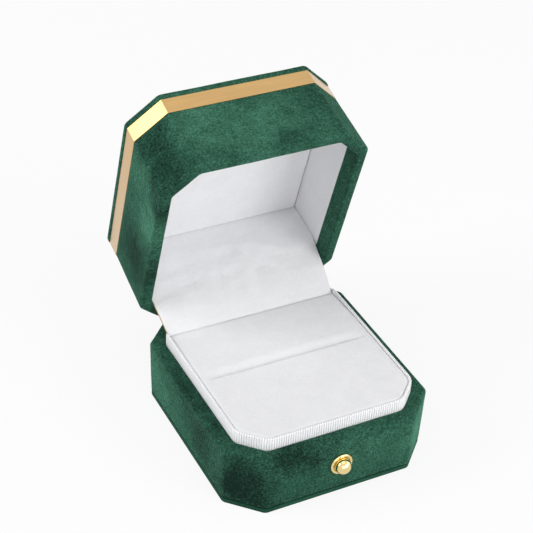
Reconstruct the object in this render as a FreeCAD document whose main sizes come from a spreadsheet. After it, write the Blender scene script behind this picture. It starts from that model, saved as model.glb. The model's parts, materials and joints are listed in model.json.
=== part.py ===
"""Velvet ring box with a hinged lid, as a parametric document.

Millimetres. The origin is the middle of the underside, +X to the right, +Y to the back, +Z up.
The lid's pieces are modelled shut and then turned open about the hinge pin by their placement.
"""
import FreeCAD, Part
import math
import os
import Sketcher

# Driving dimensions: one plain number for each alias
SIZES = {
    # Outline shared by the base and the lid
    "width": 60,
    "depth": 64.5,
    "corner_leg": 8.5,
    "velvet": 0.7,
    "edge_round": 1.0,
    "corner_round": 1.2,
    # Base
    "base_rim": 18.7,
    "base_wall": 2.1,
    "base_floor": 2.0,
    "turn_in_clearance": 1.0,
    "bottom_cloth": 0.4,
    "bottom_card": 0.8,
    "bottom_inset": 0.05,
    # Neck collar
    "neck_rise": 3.45,
    "neck_card": 0.25,
    "neck_round": 4.5,
    "ribbon": 0.2,
    "ribbon_drop": 8.0,
    "neck_setback": 6.75,
    # Ring pads
    "pad_card": 1.0,
    "pad_clearance": 0.2,
    "pad_corner_gap": 1.0,
    "pad_sink": 0.05,
    "pad_crown": 0.8,
    "pad_round": 1.6,
    "slot_place": -0.5,
    "slot_width": 2.0,
    "slot_lip": 1.8,
    # Lid
    "seam": 0.4,
    "lid_wall": 1.4,
    "lid_body": 19.9,
    "lid_turn_in": 5.6,
    "lid_top": 1.5,
    "band_height": 4.95,
    "band_thickness": 0.7,
    "band_joint": 0.2,
    "cap_height": 2.0,
    "cap_overhang": 0.25,
    "cap_cloth": 0.6,
    "cap_round": 0.8,
    "lining_clearance": 0.1,
    "ceiling_cloth": 0.4,
    "ceiling_card": 1.0,
    "ceiling_foam": 1.55,
    "ceiling_corner_gap": 0.5,
    # Hinge
    "hinge_inset": 0.85,
    "hinge_drop": 0.7,
    "open_angle": 73,
    "hinge_width": 30.0,
    "knuckle_count": 5,
    "knuckle_gap": 0.2,
    "hinge_clearance": 0.25,
    "pin_radius": 0.6,
    "pin_clearance": 0.05,
    "leaf": 0.5,
    "leaf_reach": 9.5,
    "rivet_radius": 0.7,
    "rivet_lip": 0.6,
    "rivet_head": 0.35,
    "rivet_tail": 0.4,
    "rivet_clearance": 1.7,
    "spring_width": 12.0,
    "spring_strip": 0.3,
    "spring_gap": 0.1,
    "spring_margin": 0.5,
    # Flap over the hinge
    "flap_cloth": 0.5,
    "flap_paper": 0.3,
    "flap_pad_margin": 0.5,
    "flap_lining_gap": 0.8,
    "flap_flare": 3.0,
    "flap_tuck": 6.0,
    "flap_arch": 1.8,
    "flap_clearance": 0.2,
    "paper_margin": 0.2,
    # Knob
    "knob_height": 10.0,
    "ball_radius": 2.3,
    "ball_sink": 1.1,
    "dish_margin": 0.95,
    "dish_rim": 0.45,
    "dish_floor": 0.35,
    "post_radius": 0.75,
    "post_clearance": 0.05,
    "peen_lip": 0.45,
    "peen_height": 0.25,
    "washer_lip": 1.45,
    "washer": 0.3,
    # One overrun serves all cuts
    "overrun": 1.0,
}

# Places and insets worked out from the driving dimensions, as formulas
DERIVED = {
    "half_width": "sizes.width / 2",
    "half_depth": "sizes.depth / 2",
    "leg_per_inset_share": "2 - sqrt(2)",
    # Base: insets from the outline, then levels
    "base_inner": "sizes.velvet + sizes.base_wall",
    "neck_outer": "derived.base_inner + sizes.velvet",
    "neck_card_outer": "derived.neck_outer + sizes.ribbon",
    "neck_card_inner": "derived.neck_card_outer + sizes.neck_card",
    "neck_inner": "derived.neck_card_inner + sizes.ribbon",
    "pad_outer": "derived.neck_inner + sizes.pad_clearance",
    "card_round": "sizes.neck_round - sizes.ribbon",
    "card_inner_round": "derived.card_round - sizes.neck_card",
    "ribbon_inner_round": "derived.card_inner_round - sizes.ribbon",
    "pad_corner_round": "derived.ribbon_inner_round - sizes.pad_clearance",
    "floor_under": "sizes.bottom_cloth + sizes.bottom_card",
    "floor_top": "derived.floor_under + sizes.base_floor",
    "shell_rim": "sizes.base_rim - sizes.velvet",
    "neck_top": "sizes.base_rim + sizes.neck_rise",
    "pad_base": "derived.floor_top + sizes.pad_card",
    "pad_crest": "derived.neck_top - sizes.pad_sink",
    "neck_corner": "derived.half_depth - derived.neck_inner"
                   " - (sizes.corner_leg - derived.leg_per_inset_share * derived.neck_inner)",
    "neck_rear": "derived.half_depth - sizes.neck_setback",
    "pad_rear_edge": "derived.neck_corner - sizes.pad_corner_gap",
    "slot_front": "sizes.slot_place - sizes.slot_width / 2",
    "slot_rear": "sizes.slot_place + sizes.slot_width / 2",
    # Lid, shut: insets, then levels
    "lid_inner": "sizes.velvet + sizes.lid_wall",
    "lining_face": "derived.lid_inner + sizes.velvet",
    "band_outer": "sizes.velvet - sizes.band_thickness",
    "ceiling_edge": "derived.lining_face + sizes.lining_clearance",
    "lid_rim": "sizes.base_rim + sizes.seam",
    "lid_shell_rim": "derived.lid_rim + sizes.velvet",
    "lining_low": "derived.lid_rim + sizes.lid_turn_in + sizes.lining_clearance",
    "body_top": "derived.lid_rim + sizes.lid_body",
    "band_top": "derived.body_top + sizes.band_height",
    "cap_top": "derived.band_top + sizes.cap_height",
    "shell_ceiling": "derived.band_top - sizes.lid_top",
    "foam_low": "derived.shell_ceiling - sizes.ceiling_foam",
    "card_low": "derived.foam_low - sizes.ceiling_card",
    "ceiling_low": "derived.card_low - sizes.ceiling_cloth",
    "ceiling_corner": "derived.half_depth - derived.ceiling_edge"
                      " - (sizes.corner_leg - derived.leg_per_inset_share * derived.ceiling_edge)",
    "ceiling_rear": "derived.ceiling_corner - sizes.ceiling_corner_gap",
    # Hinge
    "hinge_y": "derived.half_depth - sizes.hinge_inset",
    "hinge_z": "sizes.base_rim - sizes.hinge_drop",
    "knuckle_radius": "sizes.pin_radius + sizes.leaf",
    "leaf_face": "derived.hinge_y - derived.knuckle_radius",
    "leaf_back": "derived.leaf_face + sizes.leaf",
    "notch_half": "sizes.hinge_width / 2 + sizes.hinge_clearance",
    "hinge_front": "derived.half_depth - max(derived.neck_outer; derived.lining_face) - sizes.overrun",
    "swing_radius": "derived.knuckle_radius + sizes.hinge_clearance",
    "notch_low": "derived.hinge_z - derived.swing_radius",
    "notch_high": "derived.hinge_z + derived.swing_radius",
    "leaf_low": "derived.hinge_z - sizes.leaf_reach",
    "leaf_high": "derived.hinge_z + sizes.leaf_reach",
    "rivet_head_radius": "sizes.rivet_radius + sizes.rivet_lip",
    "rivet_across": "sizes.spring_width / 2 + sizes.rivet_clearance + derived.rivet_head_radius",
    "rivet_low": "(derived.leaf_low + derived.notch_low) / 2",
    "rivet_high": "(derived.leaf_high + derived.notch_high) / 2",
    "shell_back": "derived.half_depth - sizes.velvet",
    "knuckle_pitch": "sizes.hinge_width / sizes.knuckle_count",
    "spring_reach": "sizes.leaf_reach - sizes.spring_margin",
    # Flap
    "flap_low_half": "derived.half_width - derived.pad_outer - sizes.flap_pad_margin",
    "flap_high_half": "derived.half_width - derived.lining_face - sizes.flap_lining_gap",
    # Knob
    "dish_radius": "sizes.ball_radius + sizes.dish_margin",
    "peen_radius": "sizes.post_radius + sizes.peen_lip",
    "washer_radius": "sizes.post_radius + sizes.washer_lip",
    "base_turn_in": "sizes.base_rim - sizes.knob_height - derived.washer_radius - sizes.turn_in_clearance",
}

doc = FreeCAD.newDocument("velvet_ring_box")


def fill_sheet(name, cells):
    """A sheet with one aliased cell for each entry."""
    sheet = doc.addObject("Spreadsheet::Sheet", name)
    for row, (alias, content) in enumerate(cells.items(), start=1):
        sheet.set(f"A{row}", alias)
        sheet.set(f"B{row}", content)
        sheet.setAlias(f"B{row}", alias)
    return sheet


sizes = fill_sheet("sizes", {alias: str(number) for alias, number in SIZES.items()})
doc.recompute()
derived = fill_sheet("derived", {alias: "=" + text.replace("derived.", "") for alias, text in DERIVED.items()})
doc.recompute()

LID_OPEN = (
    "placement(vector(0; 0; 0); rotation(vector(1; 0; 0); -sizes.open_angle);"
    " vector(0; derived.hinge_y; derived.hinge_z))"
)

nodes = []


def keep(item, label, placement=None):
    """Name a finished sub-part and give it its place."""
    item.Label = label
    if placement:
        item.setExpression("Placement", placement)
    nodes.append(item)
    return item


def new_body(label, in_lid=False):
    """A body that becomes one sub-part."""
    body = doc.addObject("PartDesign::Body", label)
    return keep(body, label, LID_OPEN if in_lid else None)


def new_sketch(body, name, role="XY_Plane", level="0"):
    """An empty sketch on one of the body's own origin planes, lifted to a level."""
    sketch = body.newObject("Sketcher::SketchObject", f"{body.Name}_{name}")
    plane = next(item for item in body.Origin.OriginFeatures if item.Role == role)
    sketch.AttachmentSupport = [(plane, "")]
    sketch.MapMode = "FlatFace"
    sketch.setExpression("AttachmentOffset.Base.z", level)
    return sketch


def sketch_vector(sketch, point):
    """A point of a sketch from a pair of expressions."""
    return FreeCAD.Vector(*(float(sketch.evalExpression(part)) for part in point), 0)


def bind_radius(sketch, geometry, expression):
    """Fix the radius of a circle or arc of a sketch."""
    rule = sketch.addConstraint(Sketcher.Constraint("Radius", geometry, float(sketch.evalExpression(expression))))
    sketch.setExpression(f"Constraints[{rule}]", expression)


def check_cut(body, name, before):
    """Stop if a cut took nothing away, or all of it."""
    least_share = 1e-7
    doc.recompute()
    if not 0 < body.Shape.Volume < before * (1 - least_share):
        raise RuntimeError(f"{body.Label}: {name} cut nothing or everything")


def bind_point(sketch, geometry, position, point):
    """Fix one point of a sketch at a pair of expressions."""
    for kind, expression in zip(("DistanceX", "DistanceY"), point):
        value = float(sketch.evalExpression(expression))
        index = sketch.addConstraint(Sketcher.Constraint(kind, -1, 1, geometry, position, value))
        sketch.setExpression(f"Constraints[{index}]", expression)


def add_polygon(sketch, corners):
    """A closed outline through corners given as pairs of expressions."""
    points = [sketch_vector(sketch, corner) for corner in corners]
    first = sketch.GeometryCount
    count = len(points)
    for index in range(count):
        sketch.addGeometry(Part.LineSegment(points[index], points[(index + 1) % count]), False)
    for index in range(count):
        following = first + (index + 1) % count
        sketch.addConstraint(Sketcher.Constraint("Coincident", first + index, 2, following, 1))
    for index, corner in enumerate(corners):
        bind_point(sketch, first + index, 1, corner)


def octagon(inset):
    """Corners of the box outline, drawn in by an inset, from the front left round by the right."""
    across = f"(derived.half_width - ({inset}))"
    deep = f"(derived.half_depth - ({inset}))"
    leg = f"(sizes.corner_leg - derived.leg_per_inset_share * ({inset}))"
    narrow = f"({across} - {leg})"
    shallow = f"({deep} - {leg})"
    return [
        (f"-{narrow}", f"-{deep}"), (narrow, f"-{deep}"),
        (across, f"-{shallow}"), (across, shallow),
        (narrow, deep), (f"-{narrow}", deep),
        (f"-{across}", shallow), (f"-{across}", f"-{shallow}"),
    ]


def front_outline(inset, rear):
    """The box outline drawn in by an inset and cut square at a rear line."""
    corners = octagon(inset)
    right, left = corners[2][0], corners[7][0]
    return corners[0:3] + [(right, rear), (left, rear), corners[7]]


def rectangle(left, right, low, high):
    """Corners of a rectangle between expressions."""
    return [(left, low), (right, low), (right, high), (left, high)]


def add_pad(body, name, outlines, low, high, role="XY_Plane"):
    """Extrude outlines from one level to another."""
    sketch = new_sketch(body, name + "_outline", role, low)
    for outline in outlines:
        add_polygon(sketch, outline)
    pad = body.newObject("PartDesign::Pad", f"{body.Name}_{name}")
    pad.Profile = sketch
    pad.setExpression("Length", f"({high}) - ({low})")
    doc.recompute()
    return pad


def cut_down(body, name, outlines, high, low):
    """Cut outlines downwards from one level to another, and check that something was cut."""
    before = body.Shape.Volume
    sketch = new_sketch(body, name + "_outline", "XY_Plane", high)
    for outline in outlines:
        add_polygon(sketch, outline)
    pocket = body.newObject("PartDesign::Pocket", f"{body.Name}_{name}")
    pocket.Profile = sketch
    pocket.setExpression("Length", f"({high}) - ({low})")
    check_cut(body, name, before)


def drill(body, name, place, radius, role, start, depth, reverse=False):
    """Cut round holes through a wall, square to an origin plane."""
    before = body.Shape.Volume
    sketch = new_sketch(body, name + "_outline", role, start)
    for index, spot in enumerate(place):
        sketch.addGeometry(Part.Circle(sketch_vector(sketch, spot), FreeCAD.Vector(0, 0, 1), value(radius)), False)
        bind_point(sketch, index, 3, spot)
        bind_radius(sketch, index, radius)
    pocket = body.newObject("PartDesign::Pocket", f"{body.Name}_{name}")
    pocket.Profile = sketch
    pocket.Reversed = reverse
    pocket.setExpression("Length", depth)
    check_cut(body, name, before)


def round_edges(body, name, radius, wanted):
    """Round the edges of a body that a test picks out."""
    base = body.Tip
    names = [f"Edge{index}" for index, edge in enumerate(base.Shape.Edges, start=1) if wanted(edge)]
    fillet = body.newObject("PartDesign::Fillet", f"{body.Name}_{name}")
    fillet.Base = (base, names)
    fillet.setExpression("Radius", radius)
    doc.recompute()
    return fillet


def value(expression):
    """The number that an expression stands for."""
    return float(sizes.evalExpression(expression))


def near(one, other):
    """Whether two lengths are the same, within a share of the box's width."""
    same_share = 1e-6
    return abs(one - other) < same_share * sizes.width


def spans(edge):
    """Lowest and highest corner of an edge."""
    box = edge.BoundBox
    return (box.XMin, box.YMin, box.ZMin), (box.XMax, box.YMax, box.ZMax)


def upright(edge):
    """Whether an edge runs straight up."""
    low, high = spans(edge)
    return near(low[0], high[0]) and near(low[1], high[1])


def on_outline(edge, inset):
    """Whether the middle of an edge lies on the box outline at an inset."""
    box = edge.BoundBox
    across = abs(box.XMin + box.XMax) / 2
    deep = abs(box.YMin + box.YMax) / 2
    half_width = value("derived.half_width") - inset
    half_depth = value("derived.half_depth") - inset
    leg = sizes.corner_leg - value("derived.leg_per_inset_share") * inset
    on_corner = near(across + deep, half_width + half_depth - leg)
    return near(across, half_width) or near(deep, half_depth) or on_corner


def at_level(edge, level):
    """Whether an edge lies flat at a level."""
    low, high = spans(edge)
    return near(low[2], level) and near(high[2], level)


def block(name, low, high):
    """A plain box between two corners given as expressions."""
    box = doc.addObject("Part::Box", name)
    for size, start, end in zip(("Length", "Width", "Height"), low, high):
        box.setExpression(size, f"({end}) - ({start})")
    for axis, start in zip("xyz", low):
        box.setExpression(f"Placement.Base.{axis}", start)
    return box


def rod(name, radius, place, length, turn):
    """A plain cylinder from a place, turned from +Z by a rotation expression."""
    cylinder = doc.addObject("Part::Cylinder", name)
    cylinder.setExpression("Radius", radius)
    cylinder.setExpression("Height", length)
    spot = "; ".join(place)
    cylinder.setExpression("Placement", f"placement(vector({spot}); {turn})")
    return cylinder


ALONG_X = "rotation(vector(0; 1; 0); 90)"
ALONG_Y = "rotation(vector(1; 0; 0); -90)"
ALONG_Z = "rotation(vector(0; 0; 1); 0)"


def fuse(name, items):
    """Join solids into one."""
    joined = doc.addObject("Part::MultiFuse", name)
    joined.Shapes = items
    joined.Refine = True
    return joined


def cut(name, base, tool):
    """Take one solid from another."""
    rest = doc.addObject("Part::Cut", name)
    rest.Base = base
    rest.Tool = tool
    return rest


def rivet_places(level):
    """Where the rivets of one leaf stand."""
    return [("-derived.rivet_across", level), ("derived.rivet_across", level)]


def hinge_cuts(body, rim, rivet_level, recess_end):
    """Let one leaf into a shell's rear wall and drill for the rivets."""
    high, low = sorted((rim, recess_end), key=value, reverse=True)
    cut_down(body, "leaf_recess", [leaf_recess()], high, low)
    head_floor = "-(derived.shell_back - sizes.rivet_head)"
    drill(body, "rivet_holes", rivet_places(rivet_level), "sizes.rivet_radius", "XZ_Plane",
          "-derived.shell_back", "derived.shell_back - derived.leaf_face", reverse=True)
    drill(body, "rivet_head_seats", rivet_places(rivet_level), "derived.rivet_head_radius", "XZ_Plane",
          head_floor, "sizes.rivet_head + sizes.overrun")


def leaf_recess():
    """Plan of the recess that a leaf lies in, open to the inside."""
    return rectangle("-derived.notch_half", "derived.notch_half",
                     "derived.hinge_front", "derived.leaf_back")


def clear_barrel(body, rim, notch_end):
    """Notch a rim for the hinge barrel, where the barrel reaches it."""
    reaches = value(rim) > value("derived.notch_low") and value(rim) < value("derived.notch_high")
    if reaches:
        back = "derived.half_depth + sizes.overrun"
        plan = rectangle("-derived.notch_half", "derived.notch_half", "derived.hinge_front", back)
        high, low = sorted((rim, notch_end), key=value, reverse=True)
        cut_down(body, "barrel_notch", [plan], high, low)


def build_bottom():
    """Wrapped card under the base."""
    cover = new_body("bottom_cover")
    inner = "sizes.bottom_inset + sizes.bottom_cloth"
    add_pad(cover, "sheet", [octagon("sizes.bottom_inset")], "0", "derived.floor_under")
    cut_down(cover, "hollow", [octagon(inner)], "derived.floor_under", "sizes.bottom_cloth")
    board = new_body("bottom_board")
    add_pad(board, "sheet", [octagon(inner)], "sizes.bottom_cloth", "derived.floor_under")


def build_base_shell():
    """Moulded tray: floor, walls, hinge recess and the hole for the knob."""
    shell = new_body("base_shell")
    add_pad(shell, "block", [octagon("sizes.velvet")], "derived.floor_under", "derived.shell_rim")
    cut_down(shell, "hollow", [octagon("derived.base_inner")], "derived.shell_rim", "derived.floor_top")
    hinge_cuts(shell, "derived.shell_rim", "derived.rivet_low", "derived.leaf_low")
    clear_barrel(shell, "derived.shell_rim", "derived.notch_low")
    drill_for_knob(shell)


def drill_for_knob(body):
    """Hole for the knob's post through a front wall."""
    radius = "sizes.post_radius + sizes.post_clearance"
    drill(body, "knob_hole", [("0", "sizes.knob_height")], radius, "XZ_Plane",
          "derived.half_depth", "derived.neck_outer")


def wrap_in_velvet(body, rim, away, shell_inner, turn_in):
    """Cloth over an outer wall, over the rim and turned inside.

    away is the level where the cloth ends on the outside, and it lies above a hanging lid's rim.
    """
    upward = value(away) > value(rim)
    sign = "+" if upward else "-"
    cover = f"{rim} {sign} sizes.velvet"
    tucked = f"{rim} {sign} {turn_in}"
    face = f"{shell_inner} + sizes.velvet"
    layers = (
        ("outside", "0", "sizes.velvet", away),
        ("rim", "sizes.velvet", shell_inner, cover),
        ("inside", shell_inner, face, tucked),
    )
    for name, outer, inner, end in layers:
        low, high = (rim, end) if upward else (end, rim)
        add_pad(body, name, [octagon(outer), octagon(inner)], low, high)
    round_edges(body, "corner_rounding", "sizes.corner_round", lambda edge: upright(edge) and on_outline(edge, 0))
    level = value(rim)
    round_edges(body, "rim_rounding", "sizes.edge_round", lambda edge: at_level(edge, level) and outermost(edge))


def outermost(edge):
    """Whether an edge runs along the outside of the box, rounded corners among it."""
    box = edge.BoundBox
    across = max(abs(box.XMin), abs(box.XMax))
    deep = max(abs(box.YMin), abs(box.YMax))
    inner = value("sizes.velvet") / 2
    limit = value("derived.half_width + derived.half_depth - sizes.corner_leg") - inner * math.sqrt(2)
    middle = abs(box.XMin + box.XMax) / 2 + abs(box.YMin + box.YMax) / 2
    beyond_sides = across > value("derived.half_width") - inner or deep > value("derived.half_depth") - inner
    return beyond_sides or middle > limit


def build_base_velvet():
    """Green velvet of the base."""
    velvet = new_body("base_velvet")
    wrap_in_velvet(velvet, "sizes.base_rim", "derived.floor_under", "derived.base_inner", "derived.base_turn_in")
    clear_barrel(velvet, "sizes.base_rim", "derived.notch_low")
    cut_down(velvet, "leaf_gap", [leaf_recess()], "derived.notch_low", "sizes.base_rim - derived.base_turn_in")
    drill_for_knob(velvet)


def neck_gap():
    """Plan of the gap that the collar leaves at the back for the hinge."""
    return rectangle("-derived.half_width", "derived.half_width", "derived.neck_rear", "derived.half_depth")


def build_neck():
    """Card collar round the pads, and the ribbon folded over it."""
    collar = doc.addObject("PartDesign::Body", "neck_collar_card")
    card = [octagon("derived.neck_card_outer"), octagon("derived.neck_card_inner")]
    card_top = "derived.neck_top - sizes.ribbon"
    add_pad(collar, "card", card, "derived.floor_top", card_top)
    round_corners(collar, "outer", "derived.neck_card_outer", "derived.card_round")
    round_corners(collar, "inner", "derived.neck_card_inner", "derived.card_inner_round")
    cut_down(collar, "hinge_gap", [neck_gap()], card_top, "derived.floor_top")
    ribbon = doc.addObject("PartDesign::Body", "neck_ribbon_fold")
    low = "sizes.base_rim - sizes.ribbon_drop"
    full = [octagon("derived.neck_outer"), octagon("derived.neck_inner")]
    add_pad(ribbon, "fold", full, low, "derived.neck_top")
    hollow_up(ribbon, card, low, card_top)
    round_corners(ribbon, "outer", "derived.neck_outer", "sizes.neck_round")
    round_corners(ribbon, "card_outer", "derived.neck_card_outer", "derived.card_round")
    round_corners(ribbon, "card_inner", "derived.neck_card_inner", "derived.card_inner_round")
    round_corners(ribbon, "inner", "derived.neck_inner", "derived.ribbon_inner_round")
    cut_down(ribbon, "hinge_gap", [neck_gap()], "derived.neck_top", low)
    room = doc.addObject("Part::Feature", "flap_room")
    under = sizes.flap_cloth + sizes.flap_paper + sizes.flap_clearance
    half = value("derived.flap_low_half + sizes.paper_margin + sizes.flap_clearance")
    room.Shape = layer_along(flap_path()[1:2], half * 2, -sizes.neck_rise, under)
    keep(cut("neck_collar", collar, room), "neck_collar")
    keep(cut("neck_ribbon", ribbon, room), "neck_ribbon")


def round_corners(body, name, inset, radius, rear=None):
    """Round the upright corners of a body's outline at an inset, up to a rear edge if one is given."""
    depth = value(inset)
    limit = value(rear or "derived.half_depth")

    def at_corner(edge):
        ahead = edge.BoundBox.YMax < limit and not near(edge.BoundBox.YMax, limit)
        return upright(edge) and on_outline(edge, depth) and ahead

    round_edges(body, f"{name}_corners", radius, at_corner)


def hollow_up(body, outlines, low, high):
    """Cut outlines upwards out of a body."""
    before = body.Shape.Volume
    sketch = new_sketch(body, "hollow_outline", "XY_Plane", low)
    for outline in outlines:
        add_polygon(sketch, outline)
    pocket = body.newObject("PartDesign::Pocket", f"{body.Name}_hollow")
    pocket.Profile = sketch
    pocket.Reversed = True
    pocket.setExpression("Length", f"({high}) - ({low})")
    check_cut(body, "hollow", before)


def crown_cut(body, front, rear):
    """Arch the top of a pad between the front and rear of both, with the crest at the pad level."""
    before = body.Shape.Volume
    sketch = new_sketch(body, "crown_outline", "YZ_Plane", "-derived.half_width")
    low = "derived.pad_crest - sizes.pad_crown"
    high = "derived.pad_crest + sizes.overrun"
    crest = (f"(({front}) + ({rear})) / 2", "derived.pad_crest")
    rear_low, front_low, front_high, rear_high = (rear, low), (front, low), (front, high), (rear, high)
    spots = [sketch_vector(sketch, spot) for spot in (rear_low, front_low, front_high, rear_high)]
    sketch.addGeometry(Part.Arc(spots[0], sketch_vector(sketch, crest), spots[1]), False)
    for index in range(1, len(spots)):
        sketch.addGeometry(Part.LineSegment(spots[index], spots[(index + 1) % len(spots)]), False)
    for index in range(len(spots)):
        sketch.addConstraint(Sketcher.Constraint("Coincident", index, 2, (index + 1) % len(spots), 1))
    for index, spot in enumerate((rear_low, front_low, front_high, rear_high)):
        bind_point(sketch, index, 1, spot)
    half = f"((({rear}) - ({front})) / 2)"
    bind_radius(sketch, 0, f"({half} * {half} + sizes.pad_crown * sizes.pad_crown) / (2 * sizes.pad_crown)")
    pocket = body.newObject("PartDesign::Pocket", f"{body.Name}_crown")
    pocket.Profile = sketch
    pocket.Reversed = True
    pocket.setExpression("Length", "sizes.width")
    check_cut(body, "crown", before)


def build_pads():
    """Card and the two sponge pads with the ring slot between them."""
    board = new_body("pad_board")
    outline = front_outline("derived.pad_outer", "derived.pad_rear_edge")
    add_pad(board, "card", [outline], "derived.floor_top", "derived.pad_base")
    round_corners(board, "front", "derived.pad_outer", "derived.pad_corner_round", "derived.pad_rear_edge")
    side = "(derived.half_width - derived.pad_outer)"
    front_edge = "-(derived.half_depth - derived.pad_outer)"
    plans = {
        "pad_front": front_outline("derived.pad_outer", "derived.slot_front"),
        "pad_rear": rectangle(f"-{side}", side, "derived.slot_rear", "derived.pad_rear_edge"),
    }
    lips = {"pad_front": "derived.slot_front", "pad_rear": "derived.slot_rear"}
    for label, plan in plans.items():
        pad = new_body(label)
        add_pad(pad, "sponge", [plan], "derived.pad_base", "derived.pad_crest")
        if label == "pad_front":
            round_corners(pad, "front", "derived.pad_outer", "derived.pad_corner_round", "derived.slot_front")
        crown_cut(pad, front_edge, "derived.pad_rear_edge")
        round_pad(pad, value(lips[label]))


def round_pad(pad, lip):
    """Soften a pad's top edges: a wide lip at the slot, and the rest as they tuck under the neck."""
    shoulder = value("derived.pad_crest - 2 * sizes.pad_crown")

    def at_lip(edge):
        low, high = spans(edge)
        return low[2] > shoulder and near(low[1], lip) and near(high[1], lip)

    def at_side(edge):
        low, high = spans(edge)
        return low[2] > shoulder and not (near(low[0], -high[0]) and abs(low[1] - lip) < sizes.slot_lip * 2)

    round_edges(pad, "lip", "sizes.slot_lip", at_lip)
    round_edges(pad, "sides", "sizes.pad_round", at_side)


def build_knob():
    """Ball on its dished seat, with the post through the wall, and the washer behind."""
    place = ("placement(vector(0; -derived.half_depth; sizes.knob_height); rotation(vector(1; 0; 0); 90))")
    far = "sizes.ball_radius * 2"
    depth = "(derived.base_inner + sizes.washer)"
    ball = doc.addObject("Part::Sphere", "ball_round")
    ball.setExpression("Radius", "sizes.ball_radius")
    ball.setExpression("Placement.Base.z", "sizes.ball_radius - sizes.ball_sink")
    under = block("ball_under", ("-sizes.ball_radius", "-sizes.ball_radius", "-sizes.ball_radius"),
                  ("sizes.ball_radius", "sizes.ball_radius", "sizes.dish_floor"))
    seated = cut("ball_seated", ball, under)
    post = rod("ball_post", "sizes.post_radius", ("0", "0", f"-{depth}"),
               f"{depth} + sizes.ball_radius", ALONG_Z)
    peen = rod("ball_peen", "derived.peen_radius", ("0", "0", f"-({depth} + sizes.peen_height)"),
               "sizes.peen_height", ALONG_Z)
    keep(fuse("knob_ball", [seated, post, peen]), "knob_ball", place)
    plate = rod("dish_plate", "derived.dish_radius - sizes.dish_rim", ("0", "0", "0"), "sizes.dish_floor", ALONG_Z)
    rim = doc.addObject("Part::Torus", "dish_rim_ring")
    rim.setExpression("Radius1", "derived.dish_radius - sizes.dish_rim")
    rim.setExpression("Radius2", "sizes.dish_rim")
    rim.setExpression("Placement.Base.z", "sizes.dish_rim")
    bore = rod("dish_bore", "sizes.post_radius + sizes.post_clearance", ("0", "0", "-sizes.overrun"), far, ALONG_Z)
    keep(cut("knob_dish", fuse("dish_blank", [plate, rim]), bore), "knob_dish", place)
    disc = rod("washer_disc", "derived.washer_radius", ("0", "0", f"-{depth}"), "sizes.washer", ALONG_Z)
    eye = rod("washer_eye", "sizes.post_radius + sizes.post_clearance",
              ("0", "0", f"-({depth} + sizes.overrun)"), far, ALONG_Z)
    keep(cut("knob_washer", disc, eye), "knob_washer", place)


def build_lid_shell():
    """Moulded lid: top, walls and hinge recess."""
    shell = new_body("lid_shell", in_lid=True)
    add_pad(shell, "top", [octagon("sizes.velvet")], "derived.shell_ceiling", "derived.band_top")
    walls = [octagon("sizes.velvet"), octagon("derived.lid_inner")]
    add_pad(shell, "walls", walls, "derived.lid_shell_rim", "derived.shell_ceiling")
    hinge_cuts(shell, "derived.lid_shell_rim", "derived.rivet_high", "derived.leaf_high")
    clear_barrel(shell, "derived.lid_shell_rim", "derived.notch_high")


def build_lid_covers():
    """Velvet, band and wrapped cap of the lid."""
    velvet = new_body("lid_velvet", in_lid=True)
    wrap_in_velvet(velvet, "derived.lid_rim", "derived.body_top", "derived.lid_inner", "sizes.lid_turn_in")
    clear_barrel(velvet, "derived.lid_rim", "derived.notch_high")
    cut_down(velvet, "leaf_gap", [leaf_recess()], "derived.lid_rim + sizes.lid_turn_in", "derived.lid_rim")
    band = new_body("gold_band", in_lid=True)
    strip = [octagon("derived.band_outer"), octagon("sizes.velvet")]
    add_pad(band, "strip", strip, "derived.body_top", "derived.band_top")
    joint = rectangle("-sizes.band_joint / 2", "sizes.band_joint / 2", "0", "sizes.depth")
    cut_down(band, "joint", [joint], "derived.band_top", "derived.body_top")
    cap = new_body("lid_cap_velvet", in_lid=True)
    add_pad(cap, "wrap", [octagon("-sizes.cap_overhang")], "derived.band_top", "derived.cap_top")
    top = value("derived.cap_top")
    round_edges(cap, "rounding", "sizes.cap_round", lambda edge: at_level(edge, top))
    core = octagon("sizes.cap_cloth - sizes.cap_overhang")
    hollow_up(cap, [core], "derived.band_top", "derived.cap_top - sizes.cap_cloth")
    board = new_body("lid_cap_board", in_lid=True)
    add_pad(board, "card", [core], "derived.band_top", "derived.cap_top - sizes.cap_cloth")


def build_lining():
    """White panels on the lid's walls and the padded ceiling."""
    outer = octagon("derived.lid_inner")
    inner = octagon("derived.lining_face")
    panels = {"lid_lining_front": 0, "lid_lining_front_right": 1, "lid_lining_right": 2,
              "lid_lining_left": 6, "lid_lining_front_left": 7}
    for label, side in panels.items():
        panel = new_body(label, in_lid=True)
        following = (side + 1) % len(outer)
        plan = [outer[side], outer[following], inner[following], inner[side]]
        add_pad(panel, "card", [plan], "derived.lining_low", "derived.shell_ceiling")
    ceiling = front_outline("derived.ceiling_edge", "derived.ceiling_rear")
    layers = (("ceiling_cloth", "derived.ceiling_low", "derived.card_low"),
              ("ceiling_card", "derived.card_low", "derived.foam_low"),
              ("ceiling_foam", "derived.foam_low", "derived.shell_ceiling"))
    for label, low, high in layers:
        add_pad(new_body(label, in_lid=True), "sheet", [ceiling], low, high)


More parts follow.
